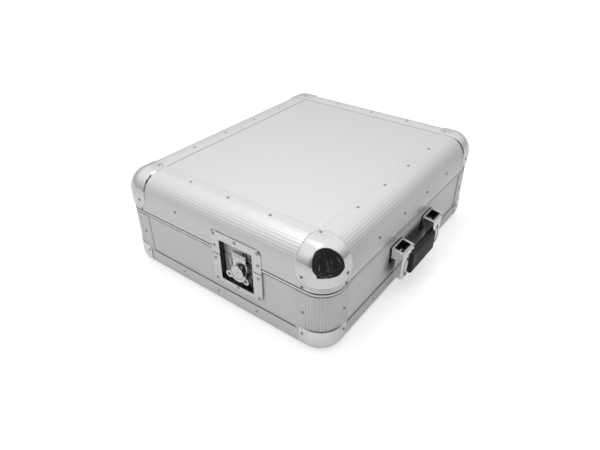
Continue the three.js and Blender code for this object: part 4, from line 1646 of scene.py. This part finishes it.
@dataclass
class FoldingHandle:
    """The front handle: two chrome brackets, two arms and a black grip."""

    spread: float = 58.0
    bracket_half: float = 20.0
    top: float = 93.0
    plate_drop: float = 32.0
    cheek_drop: float = 20.0
    backing: tuple[float, float] = (0.1, 1.5)
    backing_round: float = 2.0
    cheek: float = 1.8
    cheek_back: float = 0.4
    cheek_round: tuple[float, float, float] = (2.5, 2.1, 6.0)
    strip: tuple[float, float] = (-1.4, 0.2)
    hem: tuple[float, float, float] = (1.8, 0.5, 0.1)
    cover_gap: float = 0.3
    reach: float = 22.5
    slope: float = 3.5
    inset: float = 0.8
    pin: tuple[float, float, float] = (17.0, 82.0, 2.5)
    arm_half: float = 14.0
    arm_out: float = 16.9
    arm: tuple[float, float] = (-21.8, -6.5)
    arm_low: float = 31.0
    arm_round: float = 10.0
    arm_ease: float = 1.8
    leaf: tuple[float, float, float, float] = (20.0, 8.5, 0.6, 2.2)
    mouth: tuple[float, float, float, float] = (14.5, -18.5, -2.8, 1.1)
    mouth_round: float = 2.0
    grip: tuple[float, float, float, float] = (-26.5, -13.5, 30.0, 71.0)
    grip_half: float = 43.75
    grip_round: float = 5.0
    grip_ease: float = 0.8
    tenon: tuple[float, float, float, float] = (2.6, 4.5, 10.0, 10.0)
    tenon_lap: float = 2.0
    boss: tuple[float, float] = (5.0, 17.2)
    pin_play: float = 0.4
    pin_short: float = 0.6

    def build_bracket(self, label: str, x: float) -> None:
        """Makes one bracket: a black backing plate and an open-topped chrome box.

        Args:
            label: Its side: left or right.
            x: Its middle along the wall.
        """
        half, inset, top, reach = self.bracket_half, self.inset, self.top, self.reach
        outline = round_rectangle(
            (x - half, top - self.plate_drop), (x + half, top), self.backing_round, 5,
        )
        plate = Workpiece().prism(outline, *self.backing, INWARD).paint(1)
        wide, high, bottom = half - inset, top - inset, top - self.cheek_drop
        low_front = high - self.slope
        nose, nose_drop, toe = self.cheek_round
        side = [(self.cheek_back, bottom), (self.cheek_back, high)]
        side += arc((nose - reach, low_front - nose_drop), nose, 80, 180, 6)
        side += arc((toe - reach, bottom + toe), toe, 180, 270, 8)
        box = Workpiece()
        for start in (x - wide, x + wide - self.cheek):
            cheek = Workpiece().prism(side, start, start + self.cheek, ALONG)
            box.add(cheek.soften(EASE, 3, lambda e: not both(e, 1, self.cheek_back), 50))
        front, back = self.strip
        strip = Workpiece().block((x - wide, front, bottom), (x + wide, back, high))
        box.add(strip.soften(EASE, 3, lambda e: runs(e, 0)))
        out, height, radius = self.pin
        end = wide - self.pin_short
        box.rod(radius, (x - end, -out, height), (x + end, -out, height))
        reach_in, front, back, thick = self.mouth
        long, short, rise = self.hem
        sheet = [(0.0, high - rise), (long - reach, low_front + rise), (short - reach, low_front - short)]
        sheet += [(short - reach, low_front - thick), (long - reach, low_front + rise - thick)]
        sheet.append((0.0, high - thick))
        end = wide - self.cover_gap
        cover = Workpiece().prism(sheet, x - end, x + end, ALONG)
        mouth = Workpiece().block(
            (x - reach_in, front, high - 9 * PAST), (x + reach_in, back, high + 5 * PAST),
        )
        cover.cut(mouth.soften(self.mouth_round, 4, lambda e: runs(e, 2)))
        cover.paint(2)
        plate.add(box.paint(0).add(cover))

        def inside(face: bmesh.types.BMFace) -> bool:
            """Whether a face looks into the bracket.

            Args:
                face: The face.

            Returns:
                Whether it does.
            """
            middle = face.calc_center_median()
            deep = middle.z < high + self.slope * middle.y / reach - 0.95
            return deep and abs(middle.x - x) < wide - 1.78 and 1.5 - reach < middle.y < -0.9

        # The bracket's inside is painted black, as shade.
        plate.paint(1, inside)
        plate.finish(
            f"chrome_bracket_{label}", [HANDLE_FINISH, GASKET_AND_SHADE, BRACKET_TOP], "base",
            [f"handle_bracket_{label}"], "handle_chrome", Wall.FRONT.place,
        )

    def pointed(self, x: float, middle: float, long: float, wide: float) -> list[Point]:
        """A leaf's outline, made of two arcs.

        Args:
            x: Its middle along the wall.
            middle: Its middle height.
            long: Half of its length.
            wide: Half of its width.

        Returns:
            The outline.
        """
        turn = math.degrees(2 * math.atan2(wide, long))
        bow = long / math.sin(math.radians(turn))
        leaf = arc((x - bow + wide, middle), bow, -turn, turn, 20)[:-1]
        return leaf + arc((x + bow - wide, middle), bow, 180 - turn, 180 + turn, 20)[:-1]

    def build_arm(self, label: str, x: float) -> None:
        """Makes one arm, with its boss, bore, leaf groove and the socket for the grip.

        Args:
            label: Its side: left or right.
            x: Its middle along the wall.
        """
        front, back = self.arm
        half, low, round_ = self.arm_half, self.arm_low, self.arm_round
        reach, height, radius = self.pin
        left, right = sorted((x - math.copysign(half, x), x + math.copysign(self.arm_out, x)))
        outline = [(right, height), (left, height)]
        outline += arc((left + round_, low + round_), round_, 180, 270, 12)
        outline += arc((right - round_, low + round_), round_, 270, 360, 12)
        arm = Workpiece().prism(outline, front, back, INWARD)
        arm.soften(
            self.arm_ease, 5,
            lambda e: (both(e, 1, front) or both(e, 1, back)) and not both(e, 2, height), 60,
        )
        boss, wide = self.boss
        arm.join(Workpiece().rod(boss, (x - wide, -reach, height), (x + wide, -reach, height), 48))
        bore, over = radius + self.pin_play, 2 * (half + PAST)
        arm.cut(Workpiece().rod(bore, (x - over, -reach, height), (x + over, -reach, height), 36))
        middle = (low + height - boss) / 2
        sunk, thick, tall, long = self.tenon
        ends = (-self.tenon_lap, long + SIZES.fit)
        a, b = sorted(math.copysign(self.spread - half + end, x) for end in ends)
        slot, tall = self.grip[1] - sunk + SIZES.fit, tall + SIZES.fit
        centre = (self.grip[2] + self.grip[3]) / 2
        thick += 2 * SIZES.fit
        arm.cut(Workpiece().block((a, slot - thick, centre - tall), (b, slot, centre + tall)))
        long, wide, deep, line = self.leaf
        x = (left + right) / 2
        outer = self.pointed(x, middle, long, wide)
        groove = Workpiece().prism(outer, front - 2 * PAST, front + deep, INWARD)
        inner = self.pointed(x, middle, long - 2.5 * line, wide - line)
        groove.cut(Workpiece().prism(inner, front - 3 * PAST, front + deep + PAST, INWARD))
        arm.cut(groove)
        # Painted shade: the leaf groove's floor and the boss's top, inside the bracket, are painted black.
        arm.paint(1, lambda face: near(face.calc_center_median().y, front + deep))
        arm.paint(1, lambda face: face.calc_center_median().z > height + 0.4 and face.normal.y > -0.45)
        arm.finish(
            f"chrome_arm_{label}", [HANDLE_FINISH, GASKET_AND_SHADE], "handle", [f"handle_arm_{label}"],
            "handle_chrome", Wall.FRONT.place,
        )

    def build_grip(self) -> None:
        """Makes the black grip with its tenons."""
        front, back, low, high = self.grip
        half = self.grip_half
        section = round_rectangle((front, low), (back, high), self.grip_round, 8)
        grip = Workpiece().prism(section, -half, half, ALONG)
        grip.soften(self.grip_ease, 3, lambda e: both(e, 0, -half) or both(e, 0, half), 60)
        slot, centre = back - self.tenon[0], (low + high) / 2
        _, deep, tall, long = self.tenon
        for end in (-1, 1):
            a, b = sorted((end * (half - self.tenon_lap), end * (self.spread - self.arm_half + long)))
            grip.add(Workpiece().block((a, slot - deep, centre - tall), (b, slot, centre + tall)))
        grip.finish("black_grip", [GRIP_FINISH], "handle", ["handle_grip"], "grip_plastic", Wall.FRONT.place)

    def build(self) -> None:
        """Makes the whole handle."""
        for label, x in (("left", -self.spread), ("right", self.spread)):
            self.build_bracket(label, x)
            self.build_arm(label, x)
        self.build_grip()


@dataclass
class BackHinges:
    """The two butt hinges at the back."""

    across: float = 150.0
    half: float = 30.0
    axis: tuple[float, float] = (-6.0, 115.0)
    knuckle: float = 4.5
    pin: float = 2.0
    middle_half: float = 15.0
    leaf: float = 2.0
    low: float = 63.0
    high: float = 137.95
    clear: float = 5.0
    web: float = 9.0
    web_out: float = 2.0
    packing: float = 0.4
    web_gap: float = 0.5
    play: float = 0.4

    def plate(self, low: float, high: float) -> Workpiece:
        """One leaf with eased outer edges.

        Args:
            low: Its bottom.
            high: Its top.

        Returns:
            The leaf.
        """
        out = -SIZES.fit - self.leaf
        plate = Workpiece().block((-self.half, out, low), (self.half, -SIZES.fit, high))
        return plate.soften(EASE, 2, lambda e: both(e, 1, out))

    def build(self) -> None:
        """Makes both hinges."""
        y, z = self.axis
        web = -SIZES.fit - self.leaf - self.web_out
        for label, x in (("right", -self.across), ("left", self.across)):
            place = Wall.BACK.place @ Matrix.Translation((x, 0, 0))
            lower = self.plate(self.low, z - self.clear)
            lower.block(
                (-self.half, -self.packing, self.low), (self.half, SIZES.skin, SIZES.rim_bottom - SIZES.fit),
            )
            for end in (-1, 1):
                inner, outer = end * (self.middle_half + self.play), end * self.half
                a, b = sorted((inner, outer))
                lower.rod(self.knuckle, (inner, y, z), (outer, y, z), 40)
                lower.block((a, web, z - self.web), (b, -SIZES.fit, z - self.web_gap))
            lower.rod(self.pin, (-self.half, y, z), (self.half, y, z), 28)
            lower.finish(
                f"hinge_lower_{label}", [HINGE_FINISH], "base", [f"hinge_base_leaf_{label}"],
                "hinge_steel", place,
            )
            upper = self.plate(z + self.clear, self.high)
            upper.rod(self.knuckle, (-self.middle_half, y, z), (self.middle_half, y, z), 40)
            upper.block(
                (-self.middle_half, web, z + self.web_gap), (self.middle_half, -SIZES.fit, z + self.web),
            )
            upper.cut(Workpiece().rod(self.pin + self.play, (-self.half, y, z), (self.half, y, z), 28))
            upper.finish(
                f"hinge_upper_{label}", [HINGE_FINISH], "lid", [f"hinge_lid_leaf_{label}"],
                "hinge_steel", place,
            )


@dataclass
class FoamLining:
    """The foam round the inside: floor, four walls and the lid's pad."""

    inset: float = 11.2
    gap: float = 0.3
    end_gap: float = 0.4
    low: float = 12.1
    floor: float = 10.0
    top: float = 101.0
    long_wall: float = 25.0
    short_wall: float = 20.0
    floor_round: float = 26.8
    lid: tuple[float, float, float] = (15.5, 24.0, 153.05)
    lid_thick: float = 15.0
    soft: float = 3.0

    def pad(self, name: str, node: str, body: str, outline: Sequence[Point], low: float, high: float) -> None:
        """Makes one pad with soft edges.

        Args:
            name: The pad's name.
            node: The node that it stands for.
            body: The body that it rides on.
            outline: Its plan.
            low: Its bottom.
            high: Its top.
        """
        pad = Workpiece().prism(outline, low + self.gap, high - self.gap)
        pad.soften(self.soft, 4, lambda e: both(e, 2, low + self.gap) or both(e, 2, high - self.gap), 60)
        piece = pad.finish(
            name, [FOAM_FINISH], body, [node], "foam", Matrix.Translation((0, SIZES.centre_y, 0)), 45.0,
        )

    def plan(self, x: float, y: float, radius: float) -> list[Point]:
        """A rectangle round the middle with round corners."""
        x, y = x - self.gap, y - self.gap
        return round_rectangle((-x, -y), (x, y), radius, 12)

    def build(self) -> None:
        """Makes every pad."""
        x, y = SIZES.length / 2 - self.inset, SIZES.depth / 2 - self.inset
        floor_top = self.low + self.floor
        self.pad("foam_bed", "foam_floor", "base", self.plan(x, y, self.floor_round), self.low, floor_top)
        low, gap, wall = floor_top + SIZES.fit, self.gap, self.long_wall
        for label, end in (("front", -1), ("back", 1)):
            round_ = wall - 2 * gap
            middle = x - gap - round_
            strip = [(x - gap, y - wall + gap), (gap - x, y - wall + gap)]
            strip += arc((-middle, y - gap - round_), round_, 180, 90, 12)
            strip += arc((middle, y - gap - round_), round_, 90, 0, 12)
            strip = [(px, py * end) for px, py in strip]
            self.pad(f"foam_wall_{label}", f"foam_{label}", "base", strip, low, self.top)
        length = y - wall - self.end_gap - gap
        for label, end in (("left", -1), ("right", 1)):
            a, b = sorted((end * (x - gap), end * (x - self.short_wall + gap)))
            outline = [(a, -length), (b, -length), (b, length), (a, length)]
            self.pad(f"foam_wall_{label}", f"foam_{label}", "base", outline, low, self.top)
        inset, radius, lid_low = self.lid
        x, y = SIZES.length / 2 - inset, SIZES.depth / 2 - inset
        lid_high = lid_low + self.lid_thick
        self.pad("foam_lid_pad", "foam_lid", "lid", self.plan(x, y, radius), lid_low, lid_high)


@dataclass
class LaminatedBoards:
    """The ten boards, which are shown as the frame has them."""

    def build(self) -> None:
        """Gives each board its laminate."""
        along_x = SilverLaminate("silver_laminate_along_x", grime=0.55)
        along_y = SilverLaminate("silver_laminate_along_y", grain=(160.0, 3.0, 160.0), grime=0.9)
        front = SilverLaminate("silver_laminate_handle_shadow", level=0.83, grime=0.55, handled=0.92)
        # The top board has a darker copy of the laminate, as painted shade.
        own = {"base_front_panel": front, "lid_top_panel": SilverLaminate("silver_laminate_top", level=0.73)}
        for name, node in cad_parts.items():
            if name.endswith("_panel"):
                across = name.endswith(("left_panel", "right_panel"))
                finish = own.get(name, along_y if across else along_x)
                for slot in node.material_slots:
                    slot.material = finish.material()
                LOG.info("%s keeps its board", name)


@dataclass(frozen=True)
class Softbox:
    """A round soft lamp that points straight down."""

    name: str
    watts: float
    size: float
    place: tuple[float, float, float]
    mirrored: bool = True

    def hang(self) -> None:
        """Hangs it up. Polished metal shows it only where it is mirrored."""
        data = bpy.data.lights.new(self.name, "AREA")
        data.shape = "ELLIPSE"
        data.size = data.size_y = self.size
        data.energy = self.watts
        lamp = bpy.data.objects.new(self.name, data)
        lamp.location = self.place
        lamp.visible_camera = False
        lamp.visible_glossy = self.mirrored
        bpy.context.scene.collection.objects.link(lamp)
        lamp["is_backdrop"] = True


@dataclass
class Studio:
    """A pale floor, plain soft light and the camera."""

    sky: float = 1.04
    horizon: float = 0.5
    dim: float = 0.28
    dim_side: tuple[float, float, float] = (-0.574, -0.819, 0.0)
    dim_edge: tuple[float, float] = (0.05, 0.36)
    floor_level: float = 0.74
    floor_lift: float = 0.56
    floor_far: tuple[float, float] = (0.7, 2.6)
    mirror_lift: float = 0.14
    lamps: tuple[Softbox, ...] = (
        Softbox("overhead_softbox", 1.15, 0.26, (-0.15, 0.09, 0.98)),
        Softbox("overhead_scrim", 0.12, 0.5, (-0.15, 0.09, 0.99)),
        Softbox("fill_softbox", 0.7, 0.5, (-0.25, -0.18, 0.62), mirrored=False),
    )
    floor_half: float = 15.0
    ball: tuple[float, float] = (-0.222, -0.169)
    # The dark reflection sheet's section: how far from the ball's foot and how high, in metres.
    cloth: tuple[Point, ...] = (
        (0.215, 0.0006), (0.25, 0.0006), (0.3, 0.0006), (0.35, 0.0006), (0.95, 0.0006), (0.95, 0.6),
        (0.95, 1.2), (0.85, 1.7), (0.55, 2.1), (0.25, 2.3), (0.02, 2.35),
    )
    # Which way it stands, and how many degrees it reaches to either side.
    cloth_way: float = -120.0
    cloth_reach: float = 42.0
    cloth_left: tuple[float, float, float] = (24.0, 17.0, 48.0)
    cloth_right: tuple[float, float] = (250.0, 28.0)
    cloth_hood: tuple[float, float, float] = (1.5, 90.0, 74.0)
    lens: float = 29.63
    sensor: float = 36.0
    place: tuple[float, float, float] = (-0.67521, -0.46809, 0.56866)
    right: tuple[float, float, float] = (0.596153, -0.802870, -0.000633)
    up: tuple[float, float, float] = (0.450678, 0.333988, 0.827854)
    back: tuple[float, float, float] = (-0.664448, -0.493813, 0.560944)

    def sheet(self, name: str, bm: bmesh.types.BMesh, material: bpy.types.Material) -> bpy.types.Object:
        """Turns a mesh into an object of the studio.

        Args:
            name: Its name.
            bm: Its shape, which is freed.
            material: Its finish.

        Returns:
            The object.
        """
        mesh = bpy.data.meshes.new(name)
        bm.to_mesh(mesh)
        bm.free()
        sheet = bpy.data.objects.new(name, mesh)
        bpy.context.scene.collection.objects.link(sheet)
        mesh.materials.append(material)
        return sheet

    def floor(self) -> None:
        """The pale floor, lifted to white where the camera looks at it."""
        material = bpy.data.materials.new("pale_floor")
        shader = Shader(material)
        mottle = shader.noise(3.0, 4.0)
        seen = shader.node("ShaderNodeLightPath", output="Is Camera Ray")
        mirrored = shader.node("ShaderNodeLightPath", output="Is Glossy Ray")
        away = shader.node(
            "ShaderNodeVectorMath", {"operation": "LENGTH"}, {0: shader.place()}, output="Value",
        )
        far = shader.stepped(away, *self.floor_far)
        lift = shader.between(
            seen * (far * 0.6 + self.floor_lift) + mirrored * self.mirror_lift, grey(0.0), grey(1.0),
        )
        shader.surface(
            Base_Color=shader.between(mottle, grey(self.floor_level * 0.99), grey(self.floor_level * 1.01)),
            Roughness=mottle * 0.1 + 0.7, Specular_IOR_Level=0.2, Emission_Color=lift, Emission_Strength=1.0,
        )
        bm = bmesh.new()
        bmesh.ops.create_grid(bm, x_segments=1, y_segments=1, size=self.floor_half)
        self.sheet("studio_floor", bm, material)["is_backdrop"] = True

    def world(self) -> None:
        """A soft sky, bright beyond the case and dim behind the camera, that the camera sees as white."""
        world = bpy.data.worlds.new("studio_sky")
        bpy.context.scene.world = world
        shader = Shader(world)
        toward = shader.node(
            "ShaderNodeVectorMath", {"operation": "DOT_PRODUCT"}, {0: shader.place(), 1: self.dim_side},
            output="Value",
        )
        folds = shader.noise(3.0, 2.0)
        room = shader.between(folds, grey(self.dim * 0.9), grey(self.dim * 1.1))
        dim = shader.stepped(toward, *self.dim_edge)
        height = shader.stepped(shader.along("Z"), 0.0, 0.75)
        open_sky = shader.between(height, grey(self.horizon), grey(self.sky))
        bright, dark = shader.background(open_sky), shader.background(room)
        light = shader.node("ShaderNodeMixShader", None, {0: dim, 1: bright, 2: dark})
        white = shader.background(grey(1.0))
        seen = shader.node("ShaderNodeLightPath", output="Is Camera Ray")
        mixed = shader.node("ShaderNodeMixShader", None, {0: seen, 1: light, 2: white})
        shader.node_output(mixed, "ShaderNodeOutputWorld")

    def dark_screen(self) -> None:
        """A dark sheet on the camera's side, on the floor and upright, which only polished metal sees: it
        paints dark reflections.
        """
        material = bpy.data.materials.new("dark_reflection_sheet")
        shader = Shader(material)
        weave = shader.noise(9.0, 3.0)
        folds = shader.stepped(shader.noise(7.0, 3.0, (1.0, 1.0, 0.1), 0.6), 0.56, 0.7)
        shader.surface(
            Base_Color=shader.between(folds, grey(0.03), grey(0.22)), Roughness=weave * 0.1 + 0.85,
            Specular_IOR_Level=0.1,
        )
        bm = bmesh.new()
        x, y = math.cos(-1), math.sin(-1)
        ring = [bm.verts.new((radius * x, radius * y, height)) for radius, height in self.cloth]
        edges = [bm.edges.new(pair) for pair in zip(ring, ring[1:])]
        bmesh.ops.spin(
            bm, geom=[*ring, *edges], cent=(0, 0, 0), axis=(0, 0, 1), dvec=(0, 0, 0), angle=2.0, steps=32,
            use_merge=False, use_duplicate=False,
        )
        start, (out, rise, most), (steep, brim) = self.cloth[0][0], self.cloth_left, self.cloth_right
        hood, hood_left, hood_right = self.cloth_hood
        for vert in bm.verts:
            radius = math.hypot(vert.co.x, vert.co.y)
            side = math.atan2(vert.co.y, vert.co.x)
            slow, fast = out * (radius - start) + rise * vert.co.z, steep * (radius - start)
            reach = self.cloth_reach + (min(most, slow) if side < 0 else min(brim, fast))
            if vert.co.z > hood:
                reach = hood_left if side < 0 else hood_right
            way = math.radians(side * reach + self.cloth_way)
            vert.co.x, vert.co.y = radius * math.cos(way), radius * math.sin(way)
        bmesh.ops.translate(bm, verts=bm.verts, vec=(*self.ball, 0))
        screen = self.sheet("dark_screen", bm, material)
        screen.visible_camera = False
        screen.visible_diffuse = False
        screen.visible_shadow = False
        screen.visible_transmission = False
        screen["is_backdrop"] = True

    def camera(self) -> None:
        """The camera of the photograph."""
        data = bpy.data.cameras.new("case_camera")
        data.lens = self.lens
        data.sensor_width = self.sensor
        data.clip_start = 0.01
        camera = bpy.data.objects.new("case_camera", data)
        turn = Matrix((self.right, self.up, self.back)).transposed().to_4x4()
        camera.matrix_world = Matrix.Translation(self.place) @ turn
        bpy.context.scene.collection.objects.link(camera)
        bpy.context.scene.camera = camera

    def build(self) -> None:
        """Sets the studio up."""
        self.floor()
        self.world()
        for lamp in self.lamps:
            lamp.hang()
        self.dark_screen()
        self.camera()
        scene = bpy.context.scene
        scene.view_settings.view_transform = "Standard"


def write_size(key: str, sizes: dict) -> None:
    """Notes the shown object's bounds under a key."""
    low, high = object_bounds()
    sizes[key] = [[round(float(value), 5) for value in corner] for corner in (low, high)]


def main() -> None:
    """Builds the whole scene."""
    logging.basicConfig(level=logging.INFO, format="%(name)s: %(message)s")
    sizes: dict = {}
    write_size("frame", sizes)
    parts = [
        LaminatedBoards(), EdgeSections(), BottomEdging(), ClosingRims(), PressedCorners(), TurnLatch(),
        FoldingHandle(), BackHinges(), FoamLining(), Studio(),
    ]
    for part in parts:
        part.build()
        LOG.info("%s done", type(part).__name__)
    write_size("scene", sizes)


if __name__ == "__main__":
    main()
